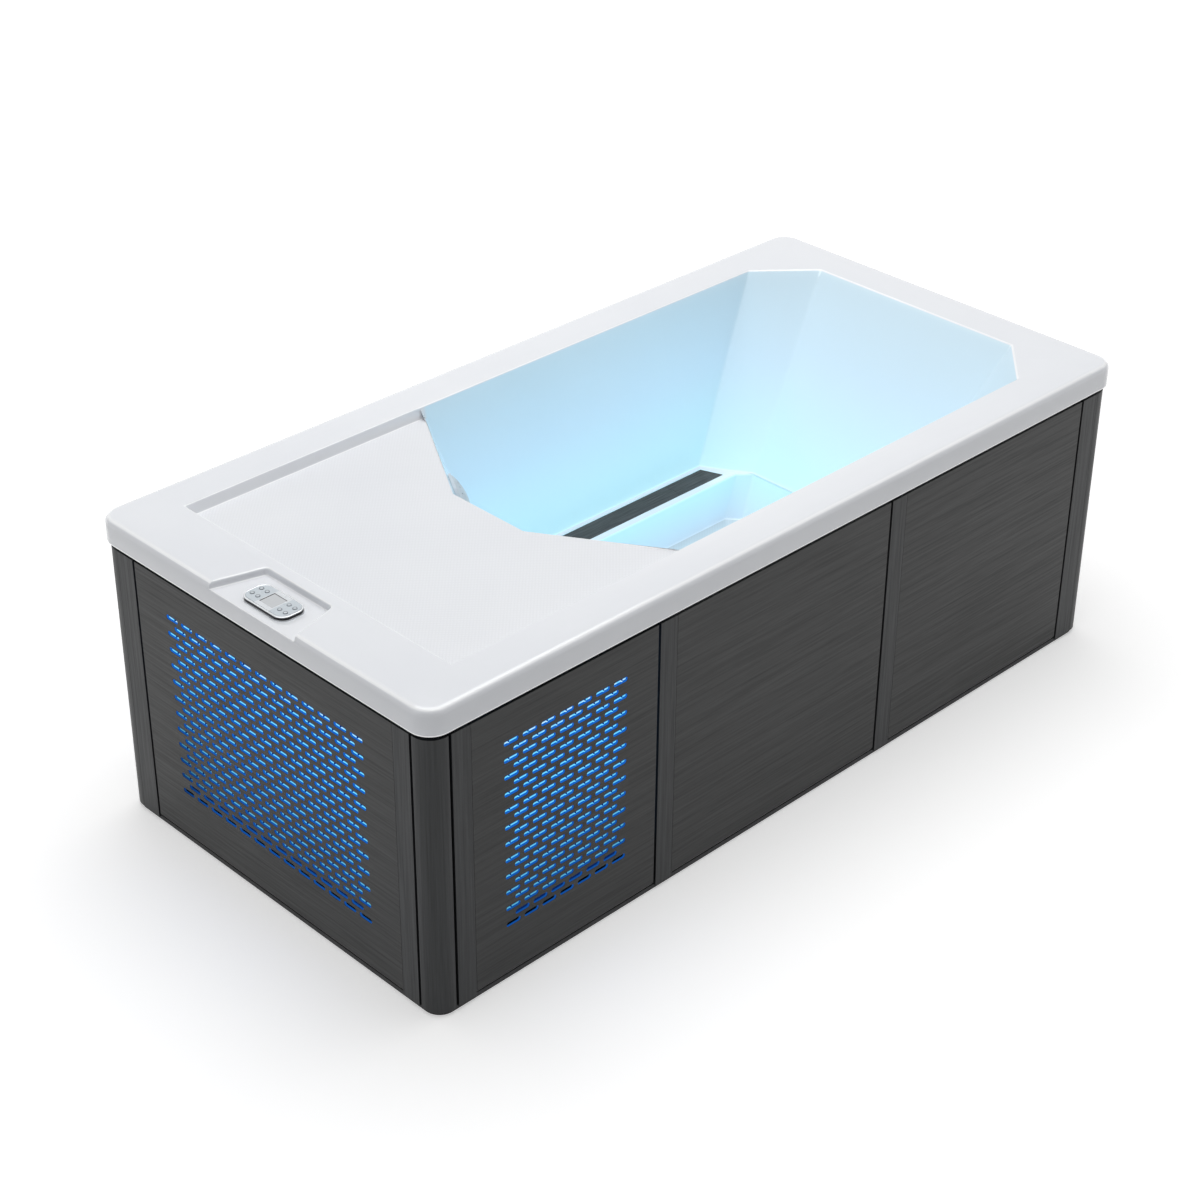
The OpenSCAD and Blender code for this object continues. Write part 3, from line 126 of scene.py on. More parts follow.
# %% Sizes of the tub in millimetres
HALF_L, HALF_W, RIM_Z, LIP_Z = 1000, 490, 690, 635
CORNER_R, EDGE_R, SHELL = 46, 14, 8
DECK_Z, LEDGE_Z, FLOOR_Z = 665, 296, 195
DECK_START, DECK_EDGE, DECK_EDGE_W, DECK_RUN = -857, -416, 216, 174
BASIN_W, FAR_X, FAR_W, FAR_RUN = 393, 897, 560, 128
LOW_NEAR, LOW_NEAR_W, LOW_RUN, LOW_W = -305, 72, 165, 305
LOW_FAR, LOW_FAR_W, LOW_FAR_RUN = 588, 380, 67
WELL_W, FOOT_LEAN, WELL_LEAN = 217, 22, 6
FOOT_FAR_LEAN, WELL_FAR_RUN = 45, 30
COVER_T, COVER_GAP = 7, 1.5
POCKET_Z, POCKET_RUN, POCKET_OUT, POCKET_IN, POCKET_ROUND = 675, 113, 127.5, 95.5, 10
POCKET_STEPS = 4
OVER = 20
CORNER_SHARE = 0.6


def section(near_x, near_w, near_run, side, end_x, end_w, end_run, grow=0):
    """The eight corners of the basin at one level."""
    g = grow * CORNER_SHARE
    half = [(near_x - grow, near_w / 2 + g), (near_x + near_run - g, side + grow),
        (end_x - end_run + g, side + grow), (end_x + grow, end_w / 2 + g)]
    return [(x, -y) for x, y in half] + [(x, y) for x, y in reversed(half)]


rise = (LOW_NEAR - DECK_EDGE) * (RIM_Z - DECK_Z) / (DECK_Z - LEDGE_Z)
near_share = (WELL_W - LOW_NEAR_W / 2) / (LOW_W - LOW_NEAR_W / 2)


def rim_outline(grow=0):
    return section(DECK_EDGE - rise, DECK_EDGE_W, DECK_RUN, BASIN_W, FAR_X, FAR_W, FAR_RUN, grow)


def ledge_outline(grow=0):
    return section(LOW_NEAR, LOW_NEAR_W, LOW_RUN, LOW_W, LOW_FAR, LOW_FAR_W, LOW_FAR_RUN, grow)


def well_outline(grow=0):
    return section(LOW_NEAR, LOW_NEAR_W, LOW_RUN * near_share, WELL_W,
        LOW_FAR, LOW_FAR_W, WELL_FAR_RUN, grow)


def foot_outline(grow=0):
    return section(LOW_NEAR + FOOT_LEAN, LOW_NEAR_W, LOW_RUN * near_share, WELL_W - WELL_LEAN,
        LOW_FAR - FOOT_FAR_LEAN, LOW_FAR_W - FOOT_LEAN, WELL_FAR_RUN, grow)


def pocket_outline(grow=0):
    """The control pocket: open past the end of the rim, narrower inwards, inner corners rounded."""
    lean = math.atan2(POCKET_OUT - POCKET_IN, POCKET_RUN)
    mid_x = -HALF_L + POCKET_RUN - POCKET_ROUND
    mid_y = POCKET_IN - POCKET_ROUND * (1 - math.sin(lean)) / math.cos(lean)
    turns = [(math.pi / 2 - lean) * i / POCKET_STEPS for i in range(POCKET_STEPS + 1)]
    r = POCKET_ROUND + grow
    arc = [(mid_x + r * math.cos(t), mid_y + r * math.sin(t)) for t in turns]
    open_end = (-HALF_L - OVER, POCKET_OUT + OVER * math.tan(lean) + grow / math.cos(lean))
    half = arc + [open_end]
    return [(x, -y) for x, y in reversed(half)] + half


print("basin at the rim: x", round(DECK_EDGE - rise), "to", FAR_X, "mm; pocket corners:", len(pocket_outline()))

# %% Solid starts: a box and a prism between two outlines
UPRIGHT = 0.99  # the least height of a unit normal that counts as looking up
TWIST = 2  # mm that the fourth corner of a face may lie off the plane of the others


def box_start(name, low, high):
    settle()
    bpy.ops.mesh.primitive_cube_add(size=1, location=[(a + b) / 2 * MM for a, b in zip(low, high)])
    obj = bpy.context.active_object
    obj.name = name
    obj.scale = [(b - a) * MM for a, b in zip(low, high)]
    bpy.ops.object.transform_apply(location=True, rotation=True, scale=True)
    return obj


def prism(name, low, low_z, high, high_z):
    """A cylinder primitive whose two rings of corners are moved onto two outlines."""
    settle()
    bpy.ops.mesh.primitive_cylinder_add(vertices=len(low), radius=1, depth=2, end_fill_type="NGON")
    obj = bpy.context.active_object
    obj.name = name
    ring_of = {}
    for v in obj.data.vertices:
        turn = math.atan2(v.co.y, v.co.x) % (2 * math.pi)
        ring_of.setdefault(v.co.z > 0, []).append((turn, v))
    for top, outline, z in ((False, low, low_z), (True, high, high_z)):
        ordered = [v for _, v in sorted(ring_of[top], key=lambda pair: pair[0])]
        for v, (x, y) in zip(ordered, outline):
            v.co = Vector((x, y, z)) * MM
    obj.data.update()
    pick(obj)
    bpy.ops.object.mode_set(mode="EDIT")
    bpy.ops.mesh.select_all(action="SELECT")
    bpy.ops.mesh.normals_make_consistent(inside=False)
    settle()
    return obj


def combine(target, tool, how):
    """Joins the tool on or cuts it out, and removes it."""
    pick(target)
    mod = target.modifiers.new("combine", "BOOLEAN")
    mod.operation, mod.solver, mod.object = how, "EXACT", tool
    bpy.ops.object.modifier_apply(modifier=mod.name)
    bpy.data.objects.remove(tool)


def choose(obj, kind, test):
    """Opens edit mode and selects the faces or edges that pass the test."""
    pick(obj)
    bpy.ops.object.mode_set(mode="EDIT")
    bpy.ops.mesh.select_mode(type=kind)
    bpy.ops.mesh.select_all(action="DESELECT")
    mesh = bmesh.from_edit_mesh(obj.data)
    chosen = [e for e in (mesh.faces if kind == "FACE" else mesh.edges) if test(e)]
    for e in chosen:
        e.select_set(True)
    bmesh.update_edit_mesh(obj.data)
    return len(chosen)


def looks_up(face):
    return face.normal.z > UPRIGHT


def raised(obj, before, after, z):
    """Extrudes the top face and moves its corners from one outline to the next."""
    choose(obj, "FACE", looks_up)
    bpy.ops.mesh.extrude_region_move(TRANSFORM_OT_translate={"value": (0, 0, OVER * MM)})
    settle()
    top = max(v.co.z for v in obj.data.vertices)
    for v in obj.data.vertices:
        if v.co.z > top - MM / 2:
            away = [math.dist(corner, (v.co.x / MM, v.co.y / MM)) for corner in before]
            v.co = Vector((*after[away.index(min(away))], z)) * MM
    obj.data.update()


def twisted(face):
    """A four-sided face whose corners don't lie in one plane."""
    if len(face.verts) != 4:
        return False
    a, b, c, d = [v.co for v in face.verts]
    return abs((d - a).dot((b - a).cross(c - a).normalized())) > TWIST * MM


# %% The rim and its lip
LIP_SOFT = 2.5
CORNER_STEPS, EDGE_STEPS, SOFT_STEPS = 12, 6, 3
TALL, NEAR = 10, 1  # mm: an edge taller than TALL is upright; a corner is at a level if within NEAR
tub = box_start("acrylic_tub", (-HALF_L, -HALF_W, LIP_Z), (HALF_L, HALF_W, RIM_Z))
upright = choose(tub, "EDGE", lambda e: abs(e.verts[0].co.z - e.verts[1].co.z) > TALL * MM)
bpy.ops.mesh.bevel(offset=CORNER_R * MM, segments=CORNER_STEPS, affect="EDGES")
top_edge = choose(tub, "EDGE", lambda e: all(v.co.z > (RIM_Z - NEAR) * MM for v in e.verts))
bpy.ops.mesh.bevel(offset=EDGE_R * MM, segments=EDGE_STEPS, affect="EDGES")
choose(tub, "EDGE", lambda e: all(v.co.z < (LIP_Z + NEAR) * MM for v in e.verts))
bpy.ops.mesh.bevel(offset=LIP_SOFT * MM, segments=SOFT_STEPS, affect="EDGES")
choose(tub, "FACE", lambda f: f.normal.z < -UPRIGHT)
bpy.ops.mesh.inset(thickness=(SHELL - LIP_SOFT) * MM)
bpy.ops.mesh.extrude_region_move(TRANSFORM_OT_translate={"value": (0, 0, (RIM_Z - LIP_Z - SHELL) * MM)})
settle()
print("rim: bevelled", upright, "corners and", top_edge, "top edges")

# %% The basin, the deck and the pocket from outside
INSIDE_TOP = RIM_Z - SHELL / 2
pocket_tray = [(max(x, -HALF_L + SHELL / 2), y) for x, y in pocket_outline(SHELL)]
outer = [
    prism("basin_outside", ledge_outline(SHELL), LEDGE_Z - SHELL - COVER_T, rim_outline(SHELL), INSIDE_TOP),
    prism("well_outside", foot_outline(SHELL), FLOOR_Z - SHELL, well_outline(SHELL), LEDGE_Z),
    box_start("deck_outside", (DECK_START - SHELL, -BASIN_W - SHELL, DECK_Z - SHELL),
        (DECK_EDGE - rise + DECK_RUN + SHELL, BASIN_W + SHELL, INSIDE_TOP)),
    prism("pocket_outside", pocket_tray, POCKET_Z - SHELL, pocket_tray, INSIDE_TOP)]
for part in outer:
    combine(tub, part, "UNION")
print("tub outside:", len(tub.data.polygons), "faces")

# %% Hollow it out
FLARE, FLARE_STEPS, FILLET = 5, 4, 4
WALL_CUTS, WELL_INSET, WELL_LAP = 9, 1, 3
draft = (BASIN_W - LOW_W) * (RIM_Z - DECK_Z) / (RIM_Z - LEDGE_Z)


def carried_on(low, low_z, high, high_z, z):
    """The outline that two outlines reach when their slanted walls are carried on to level z."""
    t = (z - low_z) / (high_z - low_z)
    return [(a[0] + (b[0] - a[0]) * t, a[1] + (b[1] - a[1]) * t) for a, b in zip(low, high)]


basin_top = carried_on(ledge_outline(), LEDGE_Z, rim_outline(), RIM_Z, RIM_Z + OVER)
basin = prism("basin_inside", ledge_outline(), LEDGE_Z, basin_top, RIM_Z + OVER)
choose(basin, "FACE", twisted)
bpy.ops.mesh.subdivide(number_cuts=WALL_CUTS)
settle()
well = prism("well_inside", foot_outline(-WELL_INSET), FLOOR_Z, well_outline(-WELL_INSET), LEDGE_Z + WELL_LAP)
deck_low = BASIN_W - draft
deck_high = BASIN_W + draft * OVER / (RIM_Z - DECK_Z)
deck_end = DECK_EDGE - rise + DECK_RUN
deck_back = DECK_START - draft * OVER / (RIM_Z - DECK_Z)
low_corners = [(DECK_START + draft, -deck_low), (deck_end + rise, -deck_low),
    (deck_end + rise, deck_low), (DECK_START + draft, deck_low)]
high_corners = [(deck_back, -deck_high), (deck_end, -deck_high), (deck_end, deck_high), (deck_back, deck_high)]
deck = prism("deck_inside", low_corners, DECK_Z, high_corners, RIM_Z + OVER)
pocket = prism("pocket_inside", pocket_outline(), POCKET_Z, pocket_outline(), RIM_Z - FLARE)
grow = 0
for step in range(1, FLARE_STEPS + 1):
    turn = math.pi / 2 * step / FLARE_STEPS
    further = FLARE * (1 - math.cos(turn))
    raised(pocket, pocket_outline(grow), pocket_outline(further), RIM_Z - FLARE + FLARE * math.sin(turn))
    grow = further
raised(pocket, pocket_outline(grow), pocket_outline(grow), RIM_Z + OVER)
choose(pocket, "EDGE", lambda e: all(v.co.z < (POCKET_Z + NEAR) * MM for v in e.verts)
    and any(v.co.x > (-HALF_L - OVER / 2) * MM for v in e.verts))
bpy.ops.mesh.bevel(offset=FILLET * MM, segments=SOFT_STEPS, affect="EDGES")
settle()
for tool in (basin, well, deck, pocket):
    combine(tub, tool, "DIFFERENCE")
print("tub hollowed:", len(tub.data.polygons), "faces")

# %% Beds for the two ledge covers
COVER_Y, COVER_W, COVER_INSET, COVER_SLANT = 237, 52, 22, 20
WELD = 0.02
ONE_PLANE = math.radians(0.4)


def cover_outline(side, grow):
    near, far = LOW_NEAR + LOW_RUN + COVER_INSET, LOW_FAR - LOW_FAR_RUN
    wall_y, well_y = side * (COVER_Y + COVER_W + grow), side * (COVER_Y - grow)
    return [(near - grow, wall_y), (near - 2 * COVER_SLANT - grow, well_y),
        (far + COVER_SLANT / 2 + grow, well_y), (far - COVER_SLANT / 2 + grow, wall_y)]


for side in (-1, 1):
    bed = cover_outline(side, COVER_GAP)
    combine(tub, prism("cover_bed", bed, LEDGE_Z - COVER_T, bed, LEDGE_Z + OVER), "DIFFERENCE")
pick(tub)
bpy.ops.object.mode_set(mode="EDIT")
bpy.ops.mesh.select_all(action="SELECT")
bpy.ops.mesh.remove_doubles(threshold=WELD * MM)
bpy.ops.mesh.dissolve_limited(angle_limit=ONE_PLANE)
bpy.ops.mesh.select_all(action="SELECT")
bpy.ops.mesh.vert_connect_concave()
settle()
print("tub with two beds:", len(tub.data.polygons), "faces")

# %% Soften the moulded edges
EDGE_SOFT = 4
ABOVE = Vector((0.1, 0, 1.6))
INSIDE_Y, INSIDE_NEAR, INSIDE_FAR, INSIDE_LOW = 0.40, -0.99, 0.91, 0.19
FOLD, SMOOTH = math.radians(12), math.radians(32)
BED_MARGIN, BED_SHARE = 3, 0.25


def seen_from_above(face):
    return face.normal.dot(ABOVE - face.calc_center_median()) > 0


def in_pocket(place):
    end, half = -HALF_L + POCKET_RUN + 2 * FLARE, POCKET_OUT + 2 * FLARE
    return place.x < end * MM and abs(place.y) < half * MM


def pocket_lip(edge):
    """The straight edge where the pocket's floor meets the outside of the lip."""
    ends = [v.co for v in edge.verts]
    return all(abs(c.x + HALF_L * MM) < MM / 10 and abs(c.z - POCKET_Z * MM) < MM / 10 for c in ends)


def moulded(edge):
    """An edge inside the rim whose two faces both look up or into the basin."""
    mid = (edge.verts[0].co + edge.verts[1].co) / 2
    inside = abs(mid.y) < INSIDE_Y and INSIDE_NEAR < mid.x < INSIDE_FAR and mid.z > INSIDE_LOW
    above = all(seen_from_above(f) for f in edge.link_faces)
    return len(edge.link_faces) == 2 and (pocket_lip(edge) or inside and above and not in_pocket(mid)
        and edge.calc_face_angle(0) > FOLD)


def weigh(edge):
    """The edges of the beds are softened less."""
    mid = (edge.verts[0].co + edge.verts[1].co) / 2
    at_level = (LEDGE_Z - COVER_T - NEAR) * MM < mid.z < (LEDGE_Z + NEAR) * MM
    beside = (COVER_Y - BED_MARGIN) * MM < abs(mid.y) < (COVER_Y + COVER_W + BED_MARGIN) * MM
    return BED_SHARE if at_level and beside else 1.0


mesh = bmesh.new()
mesh.from_mesh(tub.data)
weights = mesh.edges.layers.float.new("bevel_weight_edge")
soft = [e for e in mesh.edges if moulded(e)]
for e in soft:
    e[weights] = weigh(e)
mesh.to_mesh(tub.data)
mesh.free()
pick(tub)
bevel = tub.modifiers.new("moulded_edges", "BEVEL")
bevel.width, bevel.segments, bevel.limit_method = EDGE_SOFT * MM, SOFT_STEPS, "WEIGHT"
bevel.use_clamp_overlap = False
bpy.ops.object.modifier_apply(modifier=bevel.name)
bpy.ops.object.shade_smooth_by_angle(angle=SMOOTH)
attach(tub, "tub")
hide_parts("tub_shell")
print("softened", len(soft), "edges;", len(tub.data.polygons), "faces")

# %% [markdown]
# ## Finishes
# Each finish is a Principled shader with its colour, roughness and bump driven by noise.
# The boards of the cabinet have a fine dark grain. A picture of wood could give it, but nodes
# need no picture, and they follow each board's own direction. All boards share the grain, so
# it is a node group that is built once.

# %% Helpers for node trees
X, Y, Z = 0, 1, 2
COLOUR_A, COLOUR_B, COLOUR_OUT = 6, 7, 2


def link(tree, a, b):
    tree.links.new(a, b)


def node(tree, kind, place, **values):
    n = tree.nodes.new(kind)
    n.location = place
    for key, value in values.items():
        setattr(n, key, value)
    return n


def finish_material(name, colour, roughness, metallic=0.0):
    """A material with its Principled node, and the Object coordinates that patterns read."""
    m = bpy.data.materials.new(name)
    m.use_nodes = True
    shader = m.node_tree.nodes["Principled BSDF"]
    shader.inputs["Base Color"].default_value = (*colour, 1)
    shader.inputs["Roughness"].default_value = roughness
    shader.inputs["Metallic"].default_value = metallic
    where = node(m.node_tree, "ShaderNodeTexCoord", (-1400, 0))
    return m, m.node_tree, shader, where.outputs["Object"]


def noise(tree, vector, scale, detail, place):
    tex = node(tree, "ShaderNodeTexNoise", place)
    tex.inputs["Scale"].default_value = scale
    tex.inputs["Detail"].default_value = detail
    link(tree, vector, tex.inputs["Vector"])
    return tex.outputs["Fac"]


def ramp(tree, value, stops, place=(-500, 0)):
    n = node(tree, "ShaderNodeValToRGB", place)
    while len(n.color_ramp.elements) < len(stops):
        n.color_ramp.elements.new(0.5)
    for e, (at, colour) in zip(n.color_ramp.elements, stops):
        e.position, e.color = at, (*colour, 1)
    link(tree, value, n.inputs["Fac"])
    return n.outputs["Color"]


def grey(v):
    return (v, v, v)


def bump(tree, shader, height, strength, distance, place=(-250, -300)):
    n = node(tree, "ShaderNodeBump", place)
    n.inputs["Strength"].default_value = strength
    n.inputs["Distance"].default_value = distance
    link(tree, height, n.inputs["Height"])
    link(tree, n.outputs["Normal"], shader.inputs["Normal"])


def part_of(tree, vector, axis, place):
    """One of the three numbers of a vector."""
    n = node(tree, "ShaderNodeSeparateXYZ", place)
    link(tree, vector, n.inputs[0])
    return n.outputs[axis]


def between(tree, value, low, high, place=(-900, -2400)):
    """0 up to the first value, 1 from the second on, and a ramp between them."""
    n = node(tree, "ShaderNodeMapRange", place)
    n.inputs["From Min"].default_value, n.inputs["From Max"].default_value = low, high
    link(tree, value, n.inputs["Value"])
    return n.outputs["Result"]


def level(tree, vector, axis, low, high, place=(-900, -600)):
    """0 at one place along an axis and 1 at the other."""
    return between(tree, part_of(tree, vector, axis, (place[0] - 200, place[1])), low, high, place)


def mix(tree, fac, a, b, place=(-300, 0), how="MIX"):
    n = node(tree, "ShaderNodeMix", place, data_type="RGBA", blend_type=how)
    for socket, value in ((n.inputs["Factor"], fac), (n.inputs[COLOUR_A], a), (n.inputs[COLOUR_B], b)):
        if isinstance(value, (int, float)):
            socket.default_value = value
        elif isinstance(value, tuple):
            socket.default_value = (*value, 1)
        else:
            link(tree, value, socket)
    return n.outputs[COLOUR_OUT]


def maths(tree, how, a, b, place=(-500, -400)):
    n = node(tree, "ShaderNodeMath", place, operation=how)
    for socket, value in zip(n.inputs, (a, b)):
        if isinstance(value, (int, float)):
            socket.default_value = value
        else:
            link(tree, value, socket)
    return n.outputs[0]


# %% The shared grain group
GRAIN_KEYS = ("Along", "Across", "Upright")
grain = bpy.data.node_groups.new("board_grain", "ShaderNodeTree")
grain.interface.new_socket("Vector", in_out="INPUT", socket_type="NodeSocketVector")
for name, value in zip(GRAIN_KEYS, (6.0, 240.0, 6.0)):
    s = grain.interface.new_socket(name, in_out="INPUT", socket_type="NodeSocketFloat")
    s.default_value = value
grain.interface.new_socket("Streak", in_out="OUTPUT", socket_type="NodeSocketFloat")
grain.interface.new_socket("Cloud", in_out="OUTPUT", socket_type="NodeSocketFloat")
g_in = node(grain, "NodeGroupInput", (-1200, 0))
g_out = node(grain, "NodeGroupOutput", (400, 0))
pack = node(grain, "ShaderNodeCombineXYZ", (-950, -150))
for key, socket in zip(GRAIN_KEYS, pack.inputs):
    link(grain, g_in.outputs[key], socket)
spread = node(grain, "ShaderNodeVectorMath", (-700, 0), operation="MULTIPLY")
link(grain, g_in.outputs["Vector"], spread.inputs[0])
link(grain, pack.outputs[0], spread.inputs[1])
for key, scale, detail, roughness, y in (("Streak", 1, 6, 0.65, 100), ("Cloud", 0.22, 3, 0.5, -200)):
    tex = node(grain, "ShaderNodeTexNoise", (-450, y))
    for setting, value in (("Scale", scale), ("Detail", detail), ("Roughness", roughness)):
        tex.inputs[setting].default_value = value
    link(grain, spread.outputs[0], tex.inputs["Vector"])
    link(grain, tex.outputs["Fac"], g_out.inputs[key])


def board(name, dark, light, across, sheen):
    """A dark board; across gives the fineness of its grain along X, Y and Z."""
    m, tree, shader, place = finish_material(name, light, 0.5)
    shader.inputs["Specular IOR Level"].default_value = 0.4
    g = node(tree, "ShaderNodeGroup", (-1000, 100), node_tree=grain)
    link(tree, place, g.inputs["Vector"])
    for key, value in zip(GRAIN_KEYS, across):
        g.inputs[key].default_value = value
    streak = ramp(tree, g.outputs["Streak"], [(0.34, dark), (0.66, light)], (-700, 200))
    shade = ramp(tree, g.outputs["Cloud"], [(0.35, grey(0.85)), (0.68, grey(1.08))], (-700, -100))
    link(tree, mix(tree, 1.0, streak, shade, (-300, 200), "MULTIPLY"), shader.inputs["Base Color"])
    rough = ramp(tree, g.outputs["Streak"], [(0.3, grey(sheen + 0.12)), (0.7, grey(sheen - 0.08))],
        (-700, -350))
    link(tree, rough, shader.inputs["Roughness"])
    bump(tree, shader, g.outputs["Streak"], 0.15, 0.0004)
    return m


DARK, LIGHT = (0.0085, 0.009, 0.009), (0.0195, 0.0203, 0.0203)
LEVEL_GRAIN, UPRIGHT_GRAIN, PANEL_SHEEN = (5, 5, 210), (210, 210, 5), 0.44
panel_finish = board("streaked_panel", DARK, LIGHT, LEVEL_GRAIN, PANEL_SHEEN)
post_finish = board("upright_grain", (0.0078, 0.0088, 0.0098), (0.021, 0.023, 0.025), UPRIGHT_GRAIN, 0.42)
inlay_finish = board("inlay_grain", (0.022, 0.023, 0.024), (0.060, 0.062, 0.064), (14, 300, 60), 0.5)
print("boards:", panel_finish.name, post_finish.name, inlay_finish.name)

# %% [markdown]
# The acrylic is glossy white with a very faint mottle. The deck has a fine moulded
# anti-slip pattern. The cool blue-green of the basin is painted light: lamps in the basin
# would tint the deck and the rim too, so the light is painted on by height instead, as a blue
# base colour and an emission, strongest low on the walls. It is painted only on faces that
# look up, so that the outside of the shell stays white. The rounded top edges and the foot of
# the lip carry a painted highlight, a lighter base colour and a faint emission, for the thin
# bright lines that make the sheet read as moulded.

# %% Where the light of the basin falls
# Each pair is where a mask starts and where it is full: places in metres, and for the last
# two the height of a face's unit normal.
UNDER_DECK, UNDER_RIM, RIM_FROM = (0.6640, 0.6625), (0.6880, 0.6865), (-0.245, -0.235)
BASIN_FROM, BASIN_TO, BASIN_SIDE = (-0.430, -0.425), (0.912, 0.910), (0.410, 0.405)
FACES_UP, FACES_FLAT = (-0.06, -0.03), (0.90, 0.97)


def product(tree, first, *others):
    for other in others:
        first = maths(tree, "MULTIPLY", first, other)
    return first


def distance(tree, vector, axis, place=(-1100, -2400)):
    """How far a place is from the middle along one axis."""
    return maths(tree, "ABSOLUTE", part_of(tree, vector, axis, place), 0)


acrylic, tree, shader, place = finish_material("white_acrylic", (0.80, 0.82, 0.84), 0.20)
shader.inputs["Coat Weight"].default_value = 0.5
shader.inputs["Coat Roughness"].default_value = 0.08
facing = node(tree, "ShaderNodeNewGeometry", (-1300, -2800))
tilt = part_of(tree, facing.outputs["Normal"], Z, (-1100, -2800))
flat = between(tree, tilt, *FACES_FLAT, (-900, -1500))
side = distance(tree, place, Y)
under_deck = level(tree, place, Z, *UNDER_DECK, (-900, -500))
under_rim = product(tree, level(tree, place, Z, *UNDER_RIM, (-900, -700)),
    level(tree, place, X, *RIM_FROM, (-900, -900)))
in_basin = product(tree, maths(tree, "MAXIMUM", under_deck, under_rim), level(tree, place, X, *BASIN_FROM),
    level(tree, place, X, *BASIN_TO), between(tree, side, *BASIN_SIDE), between(tree, tilt, *FACES_UP))
print("nodes of the basin mask:", len(tree.nodes))

# %% White of the rim and painted blue light of the basin
mottle = noise(tree, place, 3.0, 3, (-900, 500))
white = ramp(tree, mottle, [(0.3, (0.80, 0.82, 0.86)), (0.7, (0.83, 0.85, 0.885))], (-650, 500))
deep = level(tree, place, Z, 0.69, 0.20, (-900, -1100))
# Painted light: in the basin the white acrylic gets a blue base colour by height, and painted shade greys the
# flat faces low in the well.
painted_wall_light = ramp(tree, deep, [(0.0, (0.68, 0.82, 0.90)), (0.35, (0.70, 0.86, 0.96)), (0.75, (0.70, 0.93, 0.97)),
    (1.0, (0.68, 0.86, 0.96))], (-650, -1100))
painted_flat_light = ramp(tree, deep, [(0.80, (0.74, 0.83, 0.92)), (0.97, (0.58, 0.70, 0.76))], (-650, -1300))
colour = mix(tree, in_basin, white, mix(tree, flat, painted_wall_light, painted_flat_light, (-400, -1100)), (-250, 300))
print("nodes with the tint:", len(tree.nodes))

# %% Anti-slip pattern of the deck and the foot well
DECK_TOP, DECK_FROM, DECK_TO, WELL_TOP = (0.668, 0.666), (-0.850, -0.840), (-0.230, -0.235), (0.205, 0.200)
STUDS_PER_METRE, STUD_DEPTH = 165, 0.002
turned = node(tree, "ShaderNodeMapping", (-1150, -1700))
turned.inputs["Rotation"].default_value = (0, 0, math.radians(45))
studs = node(tree, "ShaderNodeTexVoronoi", (-900, -1700), feature="F1")
studs.inputs["Scale"].default_value = STUDS_PER_METRE
studs.inputs["Randomness"].default_value = 0.0
link(tree, place, turned.inputs["Vector"])
link(tree, turned.outputs["Vector"], studs.inputs["Vector"])
on_deck = product(tree, flat, level(tree, place, Z, *DECK_TOP, (-900, -1900)),
    level(tree, place, X, *DECK_TO, (-900, -2100)), level(tree, place, X, *DECK_FROM, (-900, -2200)))
on_floor = product(tree, flat, level(tree, place, Z, *WELL_TOP))
patterned = maths(tree, "MAXIMUM", on_deck, on_floor)
speck = ramp(tree, studs.outputs["Distance"], [(0.25, grey(1.0)), (0.55, grey(0.955))], (-650, -1700))
colour = mix(tree, patterned, colour, mix(tree, 1.0, colour, speck, (-250, 0), "MULTIPLY"), (-100, 300))
bump(tree, shader, product(tree, studs.outputs["Distance"], patterned), 0.16, STUD_DEPTH)
print("stud spacing:", round(1 / STUDS_PER_METRE / MM, 1), "mm")

# %% Painted highlights on the rounded edges
ROUND_START, ROUND_END, TOP_ONLY = (0.66, 0.80), (0.995, 0.94), (0.6600, 0.6610)
LIP_SIDE, LIP_END, LIP_FOOT = (0.455, 0.460), (0.955, 0.960), (0.6392, 0.6382)
ROUND_HIGHLIGHT, EDGE_GLOW = 0.65, 0.3
on_round = product(tree, between(tree, tilt, *ROUND_START), between(tree, tilt, *ROUND_END),
    level(tree, place, Z, *TOP_ONLY, (-900, -2900)))
outer = maths(tree, "MAXIMUM", between(tree, side, *LIP_SIDE),
    between(tree, distance(tree, place, X, (-1100, -3100)), *LIP_END))
lip_foot = product(tree, outer, level(tree, place, Z, *LIP_FOOT, (-900, -3300)))
# Painted highlight: the rounded top edges and the foot of the lip get a lighter base colour here, and a faint
# emission below.
painted_highlight = maths(tree, "MAXIMUM", product(tree, on_round, ROUND_HIGHLIGHT), lip_foot)
link(tree, mix(tree, painted_highlight, colour, (0.97, 0.975, 0.98), (0, 300)), shader.inputs["Base Color"])
edge_light = maths(tree, "MAXIMUM", product(tree, on_round, EDGE_GLOW), lip_foot)
print("nodes with the edges:", len(tree.nodes))

# %% Light on the walls of the basin
FAR_PART, FAR_LOSS, FLAT_LOSS = (0.45, 0.80), 0.55, 0.8
lit_wall = ramp(tree, deep, [(0.0, (0.047, 0.089, 0.113)), (0.4, (0.058, 0.112, 0.165)),
    (0.82, (0.062, 0.175, 0.22)), (1.0, (0.12, 0.11, 0.14))], (-650, -2600))
glow = mix(tree, in_basin, (0, 0, 0), lit_wall, (-250, -900))
# Painted highlight: the same rounded edges and lip foot also glow faintly.
glow = mix(tree, edge_light, glow, (0.20, 0.205, 0.21), (-100, -900))
link(tree, glow, shader.inputs["Emission Color"])
near_part = maths(tree, "SUBTRACT", 1.0, product(tree, level(tree, place, X, *FAR_PART), FAR_LOSS))
near_part = product(tree, near_part, maths(tree, "SUBTRACT", 1.0, product(tree, flat, FLAT_LOSS)))
link(tree, maths(tree, "MAXIMUM", near_part, edge_light), shader.inputs["Emission Strength"])
tub.data.materials.clear()
tub.data.materials.append(acrylic)
print("acrylic nodes:", len(tree.nodes))


# %% Plain finishes with their own grain of surface
PLAIN_SCALE, PLAIN_DETAIL, RELIEF, RELIEF_DEPTH = 60, 5, 0.15, 0.0004


